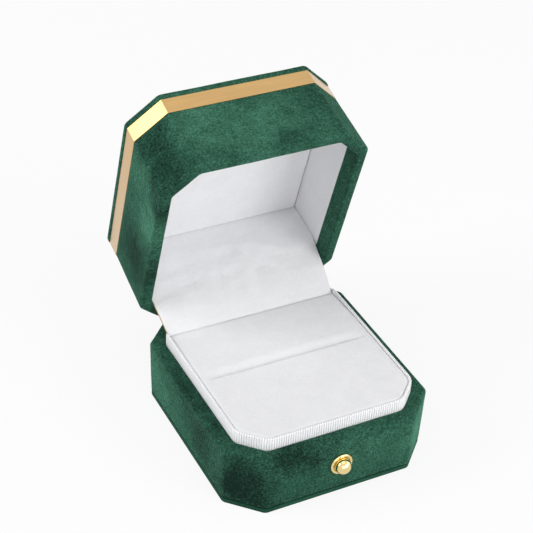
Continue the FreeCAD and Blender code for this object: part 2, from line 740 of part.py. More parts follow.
def build_leaf(label, first, sign, bore, in_lid):
    """One hinge leaf: plate, knuckles rolled round the pin and rivet holes.

    sign points from the pin to the leaf's free end, up for the lid's leaf and down for the base's.
    """
    end = f"derived.hinge_z {sign} sizes.leaf_reach"
    shoulder = f"derived.hinge_z {sign} derived.swing_radius"
    low, high = sorted((shoulder, end), key=value)
    plate = block(f"{label}_plate", ("-sizes.hinge_width / 2", "derived.leaf_face", low),
                  ("sizes.hinge_width / 2", "derived.leaf_back", high))
    solids = [plate]
    for index in range(first, int(sizes.knuckle_count), 2):
        start = f"(-sizes.hinge_width / 2 + {index} * derived.knuckle_pitch + sizes.knuckle_gap / 2)"
        length = "(derived.knuckle_pitch - sizes.knuckle_gap)"
        solids.append(rod(f"{label}_knuckle_{index}", "derived.knuckle_radius",
                          (start, "derived.hinge_y", "derived.hinge_z"), length, ALONG_X))
        low, high = sorted((shoulder, "derived.hinge_z"), key=value)
        solids.append(block(f"{label}_neck_{index}", (start, "derived.leaf_face", low),
                            (f"{start} + {length}", "derived.leaf_back", high)))
    blank = fuse(f"{label}_blank", solids)
    eye = rod(f"{label}_eye", bore, ("-sizes.hinge_width", "derived.hinge_y", "derived.hinge_z"),
              "sizes.hinge_width * 2", ALONG_X)
    rivet_level = "derived.rivet_high" if in_lid else "derived.rivet_low"
    holes = [rod(f"{label}_hole_{index}", "sizes.rivet_radius",
                 (across, "derived.leaf_face - sizes.overrun", up), "sizes.leaf + 2 * sizes.overrun", ALONG_Y)
             for index, (across, up) in enumerate(rivet_places(rivet_level))]
    drilled = cut(label, blank, fuse(f"{label}_drills", [eye] + holes))
    keep(drilled, label, LID_OPEN if in_lid else None)


def build_rivets(label, level, in_lid):
    """Two rivets with a flush outer head and a round tail on the leaf."""
    solids = []
    for index, (across, up) in enumerate(rivet_places(level)):
        shank = rod(f"{label}_shank_{index}", "sizes.rivet_radius", (across, "derived.leaf_face", up),
                    "derived.shell_back - derived.leaf_face", ALONG_Y)
        head = rod(f"{label}_head_{index}", "derived.rivet_head_radius",
                   (across, "derived.shell_back - sizes.rivet_head", up), "sizes.rivet_head", ALONG_Y)
        tail = rod(f"{label}_tail_{index}", "derived.rivet_head_radius",
                   (across, "derived.leaf_face - sizes.rivet_tail", up), "sizes.rivet_tail", ALONG_Y)
        solids.append(fuse(f"{label}_{index}", [shank, head, tail]))
    pair = doc.addObject("Part::Compound", label)
    pair.Links = solids
    keep(pair, label, LID_OPEN if in_lid else None)


def build_hinge():
    """Butt hinge in the rear walls: leaves, pin and rivets."""
    build_leaf("hinge_base_leaf", 0, "-", "sizes.pin_radius", False)
    build_leaf("hinge_lid_leaf", 1, "+", "sizes.pin_radius + sizes.pin_clearance", True)
    pin = rod("hinge_pin", "sizes.pin_radius", ("-sizes.hinge_width / 2", "derived.hinge_y", "derived.hinge_z"),
              "sizes.hinge_width", ALONG_X)
    keep(pin, "hinge_pin")
    build_rivets("hinge_base_rivets", "derived.rivet_low", False)
    build_rivets("hinge_lid_rivets", "derived.rivet_high", True)


def opened(across_from_pin, above_pin):
    """World Y and Z of a point of the open lid, given from the pin towards the front and up, shut."""
    angle = math.radians(sizes.open_angle)
    back = -across_from_pin * math.cos(angle) + above_pin * math.sin(angle)
    up = across_from_pin * math.sin(angle) + above_pin * math.cos(angle)
    return FreeCAD.Vector(0, value("derived.hinge_y") + back, value("derived.hinge_z") + up)


def layer_along(path, width, near_side, far_side):
    """A layer of cloth, paper or steel that follows a path in the YZ plane.

    It lies between two distances below the path, seen with the path running towards the back.
    """
    spine = Part.Wire(path)
    faces = [offset_below(spine, side) for side in (near_side, far_side)]
    ends = [[face.OrderedVertexes[0].Point, face.OrderedVertexes[-1].Point] for face in faces]
    ends[1].sort(key=ends[0][0].distanceToPoint)
    closing = [Part.makeLine(one, other) for one, other in zip(*ends)]
    outline = Part.Wire(Part.__sortEdges__(faces[0].Edges + faces[1].Edges + closing))
    profile = Part.Face(outline)
    profile.translate(FreeCAD.Vector(-width / 2, 0, 0))
    return profile.extrude(FreeCAD.Vector(width, 0, 0))


def offset_below(spine, distance):
    """A path moved square to itself, to the lower side, or the upper one for a distance below zero."""
    if not distance:
        return spine
    # Join 2 keeps the corners sharp
    moved = spine.makeOffset2D(distance, join=2, openResult=True)
    rose = moved.BoundBox.Center.z > spine.BoundBox.Center.z
    if rose == (distance > 0):
        moved = spine.makeOffset2D(-distance, join=2, openResult=True)
    return moved


def build_spring():
    """Flat spring bowed over the barrel from one leaf to the other, as it lies with the lid open."""
    stand_off = value("sizes.spring_gap + sizes.spring_strip")
    reach = value("derived.spring_reach")
    low = FreeCAD.Vector(0, value("derived.leaf_face") - stand_off, value("derived.hinge_z") - reach)
    high = opened(value("derived.knuckle_radius") + stand_off, reach)
    chord = high - low
    middle = (low + high) / 2
    inward = FreeCAD.Vector(0, -chord.z, chord.y).normalize()
    pin = FreeCAD.Vector(0, value("derived.hinge_y"), value("derived.hinge_z"))
    rise = (pin - middle).dot(inward) + value("derived.swing_radius + sizes.spring_strip")
    crest = middle + inward * rise
    spring = doc.addObject("Part::Feature", "hinge_spring")
    spring.Shape = layer_along([Part.Arc(low, crest, high).toShape()], sizes.spring_width, 0, sizes.spring_strip)
    keep(spring, "hinge_spring")


def flap_path():
    """Face of the flap with the lid open: tucked behind the pad, arched up to the lid, tucked in there."""
    shoulder = value("derived.pad_crest - sizes.pad_crown")
    foot = value("derived.pad_rear_edge + sizes.flap_clearance")
    ahead = value("derived.hinge_y - derived.ceiling_rear - sizes.flap_clearance")
    tucked = FreeCAD.Vector(0, foot, shoulder - sizes.flap_tuck)
    low = FreeCAD.Vector(0, foot, shoulder)
    high = opened(ahead, value("derived.ceiling_low - derived.hinge_z"))
    hidden = opened(ahead, value("derived.foam_low - derived.hinge_z"))
    span = high - low
    square = FreeCAD.Vector(0, -span.z, span.y).normalize()
    crest = (low + high) / 2 + square * sizes.flap_arch
    return [Part.makeLine(tucked, low), Part.Arc(low, crest, high).toShape(), Part.makeLine(high, hidden)]


def build_flap():
    """Cloth from the rear pad to the lid's ceiling, taut with the lid open, and the paper behind it."""
    path = flap_path()
    low, high = (vertex.Point for vertex in path[1].Vertexes)
    far = sizes.flap_cloth + sizes.flap_paper
    layers = (("hinge_flap", 0, sizes.flap_cloth, 0), ("flap_backing", sizes.flap_cloth, far, sizes.paper_margin))
    for label, near_side, far_side, margin in layers:
        sheet = layer_along(path, sizes.width, near_side, far_side)
        flap = doc.addObject("Part::Feature", label)
        flap.Shape = sheet.common(flap_plan(low.y, high.y, margin))
        keep(flap, label)


def flap_plan(front, rear, margin):
    """A tall block with the flap's plan, straight between the rims and wider inside the lid."""
    narrow = value("derived.flap_low_half") + margin
    wide = value("derived.flap_high_half") + margin
    start, end = front - sizes.overrun, rear + sizes.overrun
    flare = value("derived.hinge_y + sizes.flap_flare")
    corners = [(-narrow, start), (narrow, start), (narrow, flare), (wide, rear), (wide, end),
               (-wide, end), (-wide, rear), (-narrow, flare)]
    outline = Part.makePolygon([FreeCAD.Vector(*corner, 0) for corner in corners + corners[:1]])
    return Part.Face(outline).extrude(FreeCAD.Vector(0, 0, value("derived.cap_top")))


def check_document():
    """Stop if any object failed or any sub-part is empty or broken."""
    for item in doc.Objects:
        if {"Invalid", "Error"} & set(item.State):
            raise RuntimeError(f"{item.Label} failed: {item.State}")
    for node in nodes:
        if node.Shape.isNull() or not node.Shape.Solids or not node.Shape.isValid():
            raise RuntimeError(f"{node.Label} has no sound solid")


def write_parts():
    """Write each sub-part under its own name."""
    os.makedirs("parts", exist_ok=True)
    for node in nodes:
        node.Shape.exportStep(os.path.join("parts", f"{node.Label}.step"))


for build in (build_bottom, build_base_shell, build_base_velvet, build_neck, build_pads, build_knob,
              build_lid_shell, build_lid_covers, build_lining, build_hinge, build_spring, build_flap):
    build()
doc.recompute()
check_document()
write_parts()
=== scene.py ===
"""Dress of the velvet ring box: velvet, ribbon, flock, gold, and a studio around them.

Metres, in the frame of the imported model. Pieces of the lid are modelled shut and then turned open.
"""
import json
import math

import bmesh
import bpy
from bpy.props import FloatProperty, FloatVectorProperty, IntProperty, PointerProperty
from mathutils import Matrix, Vector, noise


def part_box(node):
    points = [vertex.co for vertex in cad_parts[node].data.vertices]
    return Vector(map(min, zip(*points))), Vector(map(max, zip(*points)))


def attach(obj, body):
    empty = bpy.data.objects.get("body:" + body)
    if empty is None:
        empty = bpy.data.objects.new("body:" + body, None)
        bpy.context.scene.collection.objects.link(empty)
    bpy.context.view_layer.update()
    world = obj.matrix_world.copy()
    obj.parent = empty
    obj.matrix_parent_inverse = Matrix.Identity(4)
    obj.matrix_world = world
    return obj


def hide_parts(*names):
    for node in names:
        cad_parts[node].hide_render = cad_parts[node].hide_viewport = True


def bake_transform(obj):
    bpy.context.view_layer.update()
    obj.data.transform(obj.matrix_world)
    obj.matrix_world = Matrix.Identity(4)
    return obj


bl_info = {
    "name": "Velvet Ring Box",
    "version": (1, 0, 0),
    "blender": (4, 5, 0),
    "location": "View3D > Sidebar > Ring Box",
    "description": "Covers the packed ring box in velvet, ribbon, flock and gold, and sets its stage",
    "category": "Object",
}

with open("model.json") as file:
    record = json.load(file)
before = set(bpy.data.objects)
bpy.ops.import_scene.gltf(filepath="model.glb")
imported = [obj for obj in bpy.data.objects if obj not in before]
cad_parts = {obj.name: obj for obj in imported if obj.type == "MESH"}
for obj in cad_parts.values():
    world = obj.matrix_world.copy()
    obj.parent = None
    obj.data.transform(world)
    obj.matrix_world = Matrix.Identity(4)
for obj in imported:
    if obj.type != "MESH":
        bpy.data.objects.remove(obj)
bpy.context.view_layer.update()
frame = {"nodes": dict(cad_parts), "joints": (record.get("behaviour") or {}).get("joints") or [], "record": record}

# Hinge of the lid, and the turn from shut to open
HINGE = frame["joints"][0]
PIN = Vector(HINGE["pos_m"])
OPEN_ANGLE = math.radians(HINGE["range_deg"][1])
OPEN = Matrix.Translation(PIN) @ Matrix.Rotation(-OPEN_ANGLE, 4, "X") @ Matrix.Translation(-PIN)
SHUT = OPEN.inverted()


def shut_box(node):
    """Lowest and highest corner of a lid's node as it lies with the lid shut."""
    points = [SHUT @ vertex.co for vertex in frame["nodes"][node].data.vertices]
    lowest = Vector([min(point[axis] for point in points) for axis in range(3)])
    highest = Vector([max(point[axis] for point in points) for axis in range(3)])
    return lowest, highest


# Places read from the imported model
BASE_LOW, BASE_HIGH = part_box("base_velvet")
HALF_WIDTH, HALF_DEPTH = BASE_HIGH.x, BASE_HIGH.y
BASE_RIM = BASE_HIGH.z
NECK_LOW, NECK_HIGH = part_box("neck_ribbon")
LID_LOW, LID_HIGH = shut_box("lid_velvet")
LID_RIM, BODY_TOP = LID_LOW.z, LID_HIGH.z
BAND_TOP = shut_box("gold_band")[1].z
CAP_HIGH = shut_box("lid_cap_velvet")[1]
PANEL_LOW, PANEL_HIGH = shut_box("lid_lining_right")
CEILING_LOW, CEILING_HIGH = shut_box("ceiling_cloth")
PAD_FRONT, PAD_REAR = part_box("pad_front"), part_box("pad_rear")
FLAP_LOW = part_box("hinge_flap")[0]
BALL_LOW, BALL_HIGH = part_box("knob_ball")
DISH_LOW, DISH_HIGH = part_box("knob_dish")

# Steps of the rounded edges: rims, hems, folds, the band's edges and the outline's corners
RIM_STEPS = 5
HEM_STEPS = 4
FOLD_STEPS = 3
BAND_STEPS = 2
CORNER_STEPS = 6
NECK_CORNER_STEPS = 28

# Velvet: the longest edge that stays whole, the cuts in a longer one and the waves of its nap per metre
VELVET_EDGE = 0.004
VELVET_CUTS = 13
VELVET_WAVES = 160

# The same for the flocked lining panels
LINING_EDGE = 0.003
LINING_CUTS = 9
LINING_WAVES = 220

# Rounding of the cloth's cut ends as a share of the hem's, and of the pad's rear edge as a share of its sides'
END_ROUND = 0.7
REAR_ROUND = 0.4

# Rounding of the neck's upper edges as a share of its thickness
NECK_ROUND = 0.3

# The flap is as wide as the lining once its share, times the flare, is 1. It covers the neck up to a share.
FLAP_FLARE = 1.6
FLAP_OVER_NECK = 0.15


def size(name, description, default):
    """A length that a user may change."""
    return FloatProperty(name=name, description=description, default=default, min=0, unit="LENGTH",
                         precision=5)


def colour(name, description, default):
    """A linear colour that a user may change."""
    return FloatVectorProperty(name=name, description=description, default=default, size=3, min=0, max=1,
                               subtype="COLOR")


class RingBoxSizes(bpy.types.PropertyGroup):
    """Lengths of the cloth, trim and padding."""

    corner_leg: size("Corner leg", "How far a corner is cut back along each side", 0.0085)
    corner_round: size("Corner rounding", "Tangent length of the rounding along each cut corner", 0.0007)
    draft: size("Draft", "How far both covers stand out at their rims", 0.0004)
    velvet: size("Velvet", "Thickness of the velvet with its backing", 0.0007)
    base_wall: size("Base wall", "Thickness of the base's shell", 0.0021)
    lid_wall: size("Lid wall", "Thickness of the lid's shell", 0.0014)
    base_hem: size("Base hem", "Depth of the velvet turned into the base", 0.006)
    lid_hem: size("Lid hem", "Depth of the velvet turned into the lid", 0.0056)
    seam: size("Seam", "Gap between the velvet and the card under the base", 0.0005)
    rim_round: size("Rim rounding", "Rounding of the outer edge of both rims", 0.0011)
    hem_round: size("Hem rounding", "Rounding of the rims' inner edges and the cloth's ends", 0.0005)
    card_round: size("Card rounding", "Rounding of the card under the base", 0.0002)
    card_hem: size("Card hem", "Rise of the cloth turned over the card's upper edge", 0.00006)
    nap_lift: size("Nap lift", "How far the velvet's face rises and falls", 0.00006)
    flat_inset: size("Flat inset", "Width of the divided border of the cap and the bottom", 0.012)
    cap_round: size("Cap rounding", "Rounding of the cap's upper edge", 0.0009)
    cap_crown: size("Cap crown", "Rise of the cap towards its middle", 0.00025)
    band: size("Band", "Thickness of the gold band", 0.0007)
    band_fold: size("Band fold", "Rounding of the band's folds and edges", 0.00008)
    band_joint: size("Band joint", "Gap where the band's ends meet at the back", 0.0002)
    ribbon: size("Ribbon", "Thickness of the ribbon on the neck", 0.0002)
    neck: size("Neck", "Thickness of the neck with its ribbon", 0.00065)
    neck_round: size("Neck rounding", "Radius of the neck's corners, seen from above", 0.0045)
    rib_pitch: size("Rib pitch", "Distance from rib to rib of the ribbon", 0.00068)
    rib_height: size("Rib height", "Height of the ribbon's ribs", 0.0002)
    pad_spread: size("Pad spread", "How far the flock swells towards the ribbon", 0.00015)
    pad_round: size("Pad rounding", "Rounding of the pad's edges at its sides", 0.0005)
    pad_front_round: size("Pad front rounding", "Rounding of the pad's front edge", 0.0005)
    pad_crown: size("Pad crown", "Rise of the pad from its rear edge to its middle", 0.0008)
    pad_front_crown: size("Pad front crown", "Rise of the pad from its front edge to its middle", 0.00005)
    slot_lip: size("Slot lip", "Rounding of the pad in front of the ring slot", 0.0005)
    slot_dip: size("Slot dip", "Fall of the pad behind the ring slot", 0.0008)
    slot_slope: size("Slot slope", "Length of the fall behind the ring slot", 0.004)
    slot_depth: size("Slot depth", "Depth of the ring slot", 0.006)
    slot_end: size("Slot end", "How far the slot stops short of the pad's sides", 0.0015)
    slot_fade: size("Slot fade", "Length over which the slot closes at each end", 0.005)
    flap: size("Flap", "Thickness of the flap's cloth", 0.0004)
    flap_arch: size("Flap arch", "Rise of the flap over a straight line", 0.0018)
    flap_crease: size("Flap crease", "Depth of the flap's creases", 0.00035)
    paper: size("Paper", "Thickness of the paper behind the flap", 0.0003)
    paper_margin: size("Paper margin", "How far the paper stands out beside the flap", 0.00012)
    ceiling_round: size("Ceiling rounding", "Rounding of the padded ceiling's edges", 0.0006)
    lining_round: size("Lining rounding", "Rounding of the lining panels' edges", 0.0002)
    ball_steps: IntProperty(name="Knob steps", description="Steps of the knob's turning", default=64,
                            min=12)


class RingBoxColours(bpy.types.PropertyGroup):
    """Linear colours of the finishes."""

    velvet_dark: colour("Velvet, dark", "Velvet brushed away from the eye", (0.004, 0.018, 0.013))
    velvet_mid: colour("Velvet, middle", "Velvet at rest", (0.021, 0.083, 0.052))
    velvet_light: colour("Velvet, light", "Velvet brushed towards the eye", (0.090, 0.280, 0.183))
    velvet_sheen: colour("Velvet sheen", "Tint of the velvet seen along its face", (0.34, 0.95, 0.63))
    flock: colour("Flock", "White flocked cloth", (0.80, 0.80, 0.815))
    ribbon: colour("Ribbon", "White ribbed ribbon", (0.90, 0.90, 0.92))
    gold: colour("Gold", "Gold of the band", (0.62, 0.38, 0.135))
    polish: colour("Polished gold", "Gold of the knob", (0.80, 0.64, 0.30))


def sizes():
    """The lengths in use."""
    return bpy.context.scene.ring_box_sizes


def colours():
    """The colours in use."""
    return bpy.context.scene.ring_box_colours


class Wire:
    """A shader socket. Sums and products of wires and numbers add Math nodes."""

    def __init__(self, tree, socket):
        self.tree = tree
        self.socket = socket

    def add(self, kind, settings=None, inputs=None, output=0):
        """A node of a kind, with its settings made first and then its sockets set or linked."""
        node = self.tree.nodes.new(kind)
        for key, setting in (settings or {}).items():
            if key == "stops":
                for stop, (position, shade) in zip(node.color_ramp.elements, setting):
                    stop.position, stop.color = position, (*shade, 1)
                for position, shade in setting[len(node.color_ramp.elements):]:
                    node.color_ramp.elements.new(position).color = (*shade, 1)
            else:
                setattr(node, key, setting)
        for key, entry in (inputs or {}).items():
            if isinstance(entry, Wire):
                self.tree.links.new(entry.socket, node.inputs[key])
            else:
                node.inputs[key].default_value = entry
        return Wire(self.tree, node.outputs[output])

    def math(self, operation, first, second):
        """A Math node on two wires or numbers."""
        return self.add("ShaderNodeMath", {"operation": operation}, {0: first, 1: second})

    def __add__(self, other):
        return self.math("ADD", self, other)

    def __sub__(self, other):
        return self.math("SUBTRACT", self, other)

    def __rsub__(self, other):
        return self.math("SUBTRACT", other, self)

    def __mul__(self, other):
        return self.math("MULTIPLY", self, other)

    __radd__ = __add__
    __rmul__ = __mul__

    def noise(self, scale, detail=2.0, roughness=0.5, distortion=0.0):
        """Noise from 0 to 1 over this wire's coordinates."""
        inputs = {"Vector": self, "Scale": scale, "Detail": detail, "Roughness": roughness,
                  "Distortion": distortion}
        return self.add("ShaderNodeTexNoise", None, inputs)

    def near(self, spot, radius):
        """1 at a spot, falling smoothly to 0 at a radius from it."""
        gap = self.add("ShaderNodeVectorMath", {"operation": "DISTANCE"}, {0: self, 1: spot}, "Value")
        inputs = {"Value": gap, "From Min": 0.0, "From Max": radius, "To Min": 1.0, "To Max": 0.0}
        return self.add("ShaderNodeMapRange", {"interpolation_type": "SMOOTHSTEP"}, inputs)

    def warped(self, scale, reach):
        """These coordinates shifted about by a smooth noise."""
        inputs = {"Vector": self, "Scale": scale, "Detail": 2.0}
        shift = self.add("ShaderNodeTexNoise", None, inputs, "Color")
        half = (0.5, 0.5, 0.5)
        centred = self.add("ShaderNodeVectorMath", {"operation": "SUBTRACT"}, {0: shift, 1: half})
        spread = {0: centred, 1: (reach, reach, reach), 2: self}
        return self.add("ShaderNodeVectorMath", {"operation": "MULTIPLY_ADD"}, spread)

    def mapped(self, turn, scale):
        """These coordinates turned and then scaled."""
        return self.add("ShaderNodeMapping", None, {"Vector": self, "Rotation": turn, "Scale": scale})

    def ramp(self, stops):
        """A colour ramp of this wire."""
        return self.add("ShaderNodeValToRGB", {"stops": stops}, {"Fac": self})

    def bump(self, strength, distance):
        """A normal from this wire as a height."""
        inputs = {"Height": self, "Strength": strength, "Distance": distance}
        return self.add("ShaderNodeBump", None, inputs)


def new_finish(name):
    """An empty material: its object coordinates and its principled shader."""
    material = bpy.data.materials.new(name)
    material.use_nodes = True
    tree = material.node_tree
    tree.nodes.clear()
    start = Wire(tree, None)
    shader = tree.nodes.new("ShaderNodeBsdfPrincipled")
    output = tree.nodes.new("ShaderNodeOutputMaterial")
    tree.links.new(shader.outputs[0], output.inputs["Surface"])
    place = start.add("ShaderNodeTexCoord", output="Object")
    return material, place, shader


def set_shader(shader, **inputs):
    """Set or link sockets of a principled shader, given as words joined by underscores."""
    for key, entry in inputs.items():
        socket = shader.inputs[key.replace("_", " ")]
        if isinstance(entry, Wire):
            entry.tree.links.new(entry.socket, socket)
        else:
            socket.default_value = entry


def shade(base, factor):
    """A linear colour made darker or lighter."""
    return tuple(min(part * factor, 1) for part in base)


# Patches where the velvet's tone changes, from brushed nap and, where marked, from painted light and shade: the
# place, the reach and the change of tone
BRUSHED_AND_PAINTED_LIGHT = (
    ((0.0, 0.022, 0.082), 0.030, 0.14),
    ((0.003, 0.025, 0.083), 0.010, 0.16),
    ((-0.017, 0.028, 0.084), 0.012, 0.16),
    ((0.006, 0.017, 0.080), 0.010, -0.16),
    ((0.019, 0.025, 0.083), 0.011, -0.14),
    ((-0.028, 0.029, 0.078), 0.013, -0.18),
    ((-0.026, 0.018, 0.076), 0.010, -0.15),
    ((-0.030, 0.030, 0.068), 0.012, 0.22),
    ((-0.030, 0.020, 0.067), 0.009, -0.32),
    ((-0.030, 0.026, 0.057), 0.009, 0.30),
    ((-0.030, 0.035, 0.041), 0.015, -0.45),
    ((-0.030, 0.020, 0.010), 0.014, 0.16),
    ((-0.030, 0.001, 0.018), 0.009, -0.16),
    ((-0.030, -0.009, 0.011), 0.012, -0.34),
    # Painted shade: the base's front left chamfer, from its foot to its rim, made darker where less light falls;
    # the cloth under the base is darkened there too.
    ((-0.027, -0.028, 0.003), 0.013, -0.20),
    ((-0.025, -0.030, 0.004), 0.013, -0.16),
    ((-0.026, -0.029, 0.012), 0.011, -0.24),
    ((-0.014, -0.032, 0.016), 0.009, -0.30),
    ((0.013, -0.032, 0.010), 0.016, 0.05),
    # Painted sheen: the base's front right chamfer made lighter, as its velvet shines when seen along its face;
    # the cloth under the base is lightened there too.
    ((0.031, -0.030, 0.009), 0.017, 0.42),
)


def brush(place, tone):
    """A tone changed where the nap is brushed, and where light and shade are painted."""
    moved = place.warped(170, 0.011)
    for spot, radius, change in BRUSHED_AND_PAINTED_LIGHT:
        tone = tone + moved.near(spot, radius) * change
    return tone


def green_velvet(name):
    """Short cut pile: brushed patches, painted shade and sheen at the base's front chamfers, strokes and speckle,
    with a bright edge where it is seen flat.
    """
    material, place, shader = new_finish(name)
    tones = colours()
    patches = place.noise(38, 2, 0.5, 0.8) - 0.5
    strokes = place.noise(150, 3, 0.55, 1.2) - 0.5
    swirls = place.noise(520, 2, 0.6, 0.8) - 0.5
    speckle = place.noise(1700, 3, 0.8) - 0.5
    tone = patches * 0.5 + strokes * 0.32 + swirls * 0.24 + speckle * 1.55 + 0.34
    stops = [(0.0, tones.velvet_dark), (0.35, tones.velvet_mid), (1.0, tones.velvet_light)]
    pile = speckle + swirls * 0.8
    set_shader(shader, Base_Color=brush(place, tone).ramp(stops), Roughness=0.95,
               Normal=pile.bump(0.8, 0.0004), Sheen_Weight=0.80, Sheen_Roughness=0.08,
               Sheen_Tint=(*tones.velvet_sheen, 1), Specular_IOR_Level=0.1)
    return material


def green_cloth(name):
    """Woven cloth under the base, brushed where the velvet is, with the velvet's painted shade and sheen at the
    front chamfers.
    """
    material, place, shader = new_finish(name)
    base = tuple(colours().velvet_mid)
    weave = place.noise(3000, 1) * 0.6 + place.noise(150, 2) * 0.4
    # The dark and light ends carry the painted shade and painted sheen of the front chamfers.
    stops = [(0.0, shade(base, 0.35)), (0.5, shade(base, 0.95)), (1.0, shade(base, 1.6))]
    set_shader(shader, Base_Color=brush(place, weave).ramp(stops), Roughness=0.9,
               Normal=weave.bump(0.4, 0.0002), Specular_IOR_Level=0.05)
    return material


def white_flock(name):
    """White flocked cloth: fine even pile with faint cloudy wear."""
    material, place, shader = new_finish(name)
    base = tuple(colours().flock)
    pile = place.noise(3600, 2, 0.7)
    felt = place.noise(1100, 3, 0.7, 0.5)
    cloud = place.noise(160, 3, 0.5, 0.6)
    tone = cloud * 0.35 + felt * 0.45 + pile * 0.2
    stops = [(0.3, shade(base, 0.93)), (0.7, shade(base, 1.04))]
    relief = pile + felt * 2 + cloud * 1.5
    set_shader(shader, Base_Color=tone.ramp(stops), Roughness=0.95, Normal=relief.bump(0.3, 0.00015),
               Sheen_Weight=0.08, Sheen_Roughness=0.5, Specular_IOR_Level=0.2)
    return material


def white_ribbon(name):
    """Ribbed ribbon: fine threads across the ribs, grooves painted darker as painted shade, slightly silky."""
    material, place, shader = new_finish(name)
    base = tuple(colours().ribbon)
    threads = place.mapped((0, 0, 0), (400, 400, 5200)).noise(1, 1)
    rib = place.add("ShaderNodeAttribute", {"attribute_name": "rib"}, output="Fac")
    # Painted shade: the grooves between the ribs darken the white to 0.6 of itself, and the crests lighten it a
    # little.
    tone = rib * 0.8 + threads * 0.2
    stops = [(0.1, shade(base, 0.6)), (0.5, base), (0.9, shade(base, 1.03))]
    set_shader(shader, Base_Color=tone.ramp(stops), Roughness=0.62, Normal=threads.bump(0.25, 0.00008),
               Sheen_Weight=0.1, Specular_IOR_Level=0.35)
    return material


def white_card(name):
    """Uncoated board with flecks of fibre."""
    material, place, shader = new_finish(name)
    flecks = place.mapped((0, 0, 0.6), (900, 2600, 900)).noise(1, 3, 0.7)
    stops = [(0.35, (0.55, 0.53, 0.48)), (0.6, (0.66, 0.64, 0.59))]
    set_shader(shader, Base_Color=flecks.ramp(stops), Roughness=0.9, Normal=flecks.bump(0.2, 0.0001))
    return material


def tan_paper(name):
    """Kraft paper with long fibres."""
    material, place, shader = new_finish(name)
    fibres = place.mapped((0, 0, 0.3), (500, 2400, 2400)).noise(1, 3, 0.65)
    stops = [(0.3, (0.42, 0.27, 0.12)), (0.7, (0.56, 0.38, 0.19))]
    set_shader(shader, Base_Color=fibres.ramp(stops), Roughness=0.85, Normal=fibres.bump(0.2, 0.0001))
    return material


def moulded_shell(name):
    """Dark moulded plastic with a fine matt grain."""
    material, place, shader = new_finish(name)
    grain = place.noise(2200, 2, 0.6)
    stops = [(0.3, (0.008, 0.011, 0.010)), (0.7, (0.016, 0.021, 0.019))]
    set_shader(shader, Base_Color=grain.ramp(stops), Roughness=grain * 0.2 + 0.7,
               Normal=grain.bump(0.3, 0.0001), Specular_IOR_Level=0.1)
    return material


def gold_strip(name):
    """Satin gold under clear lacquer, brushed along the band and so streaked across its height."""
    material, place, shader = new_finish(name)
    base = tuple(colours().gold)
    streaks = place.mapped((OPEN_ANGLE, 0, 0), (70, 70, 5200)).noise(1, 4, 0.65)
    cloud = place.noise(120, 2)
    tone = streaks * 0.8 + cloud * 0.2
    stops = [(0.3, shade(base, 0.88)), (0.7, shade(base, 1.06))]
    set_shader(shader, Base_Color=tone.ramp(stops), Metallic=1.0, Roughness=streaks * 0.16 + 0.24,
               Normal=streaks.bump(0.12, 0.00004), Coat_Weight=0.8, Coat_Roughness=0.25)
    return material


def gold_polish(name):
    """Polished gold plate with faint cloudy handling marks."""
    material, place, shader = new_finish(name)
    base = tuple(colours().polish)
    cloud = place.noise(900, 3, 0.6)
    stops = [(0.3, shade(base, 0.95)), (0.7, shade(base, 1.03))]
    set_shader(shader, Base_Color=cloud.ramp(stops), Metallic=1.0, Roughness=cloud * 0.08 + 0.07)
    return material


def hinge_steel(name):
    """Bright zinc plate with a fine rolled grain."""
    material, place, shader = new_finish(name)
    grain = place.mapped((0, 0, 0), (120, 3200, 3200)).noise(1, 3, 0.6)
    stops = [(0.3, (0.45, 0.45, 0.44)), (0.7, (0.60, 0.60, 0.58))]
    set_shader(shader, Base_Color=grain.ramp(stops), Metallic=1.0, Roughness=grain * 0.2 + 0.25,
               Normal=grain.bump(0.1, 0.00005))
    return material


FINISHES = {make.__name__: make for make in (
    green_velvet, green_cloth, white_flock, white_ribbon, white_card, tan_paper, moulded_shell, gold_strip,
    gold_polish, hinge_steel)}


def finish(slot):
    """The material of one of the record's slots, made when it is first asked for."""
    name = slot + "_finish"
    return bpy.data.materials.get(name) or FINISHES[slot](name)


def outline(inset):
    """The box's eight corners from above, drawn in by an inset, from the front left round by the right."""
    across, deep = HALF_WIDTH - inset, HALF_DEPTH - inset
    leg = sizes().corner_leg - (2 - math.sqrt(2)) * inset
    right_front = [(across - leg, -deep), (across, leg - deep)]
    front_to_back = right_front + [(x, -y) for x, y in reversed(right_front)]
    return front_to_back + [(-x, y) for x, y in reversed(front_to_back)]


def loft(bm, profile, closed):
    """Rings of the outline through insets and levels, joined by faces. Returns the edges of each ring.

    A closed profile joins its last ring to its first, and an open one has both ends filled.
    """
    corners = [bm.verts.new((*spot, profile[0][1])) for spot in outline(profile[0][0])]
    ring = [bm.edges.new((corners[index - 1], corner)) for index, corner in enumerate(corners)]
    rings = [ring]
    for inset, level in profile[1:]:
        made = bmesh.ops.extrude_edge_only(bm, edges=ring)["geom"]
        raised = [item for item in made if isinstance(item, bmesh.types.BMVert)]
        ring = [item for item in made if isinstance(item, bmesh.types.BMEdge)]
        spots = outline(inset)
        above = [min(raised, key=lambda vert: (vert.co - corner.co).length) for corner in corners]
        for vert, spot in zip(above, spots):
            vert.co = (*spot, level)
        corners = above
        rings.append(ring)
    if closed:
        bmesh.ops.bridge_loops(bm, edges=rings[0] + rings[-1])
    else:
        for end in (rings[0], rings[-1]):
            bmesh.ops.contextual_create(bm, geom=end)
    return rings


def bevel(bm, edges, offset, segments):
    """Round edges of a mesh."""
    bmesh.ops.bevel(bm, geom=edges, offset=offset, offset_type="OFFSET", affect="EDGES", segments=segments,
                    profile=0.5, material=-1)


def side_turn(edge):
    """Degrees between an edge seen from above and the nearest side of the outline.

    An upright edge has None.
    """
    span = edge.verts[1].co - edge.verts[0].co
    if math.hypot(span.x, span.y) < abs(span.z) * 1e-3:
        return None
    turn = math.degrees(math.atan2(span.y, span.x)) % 45
    return min(turn, 45 - turn)


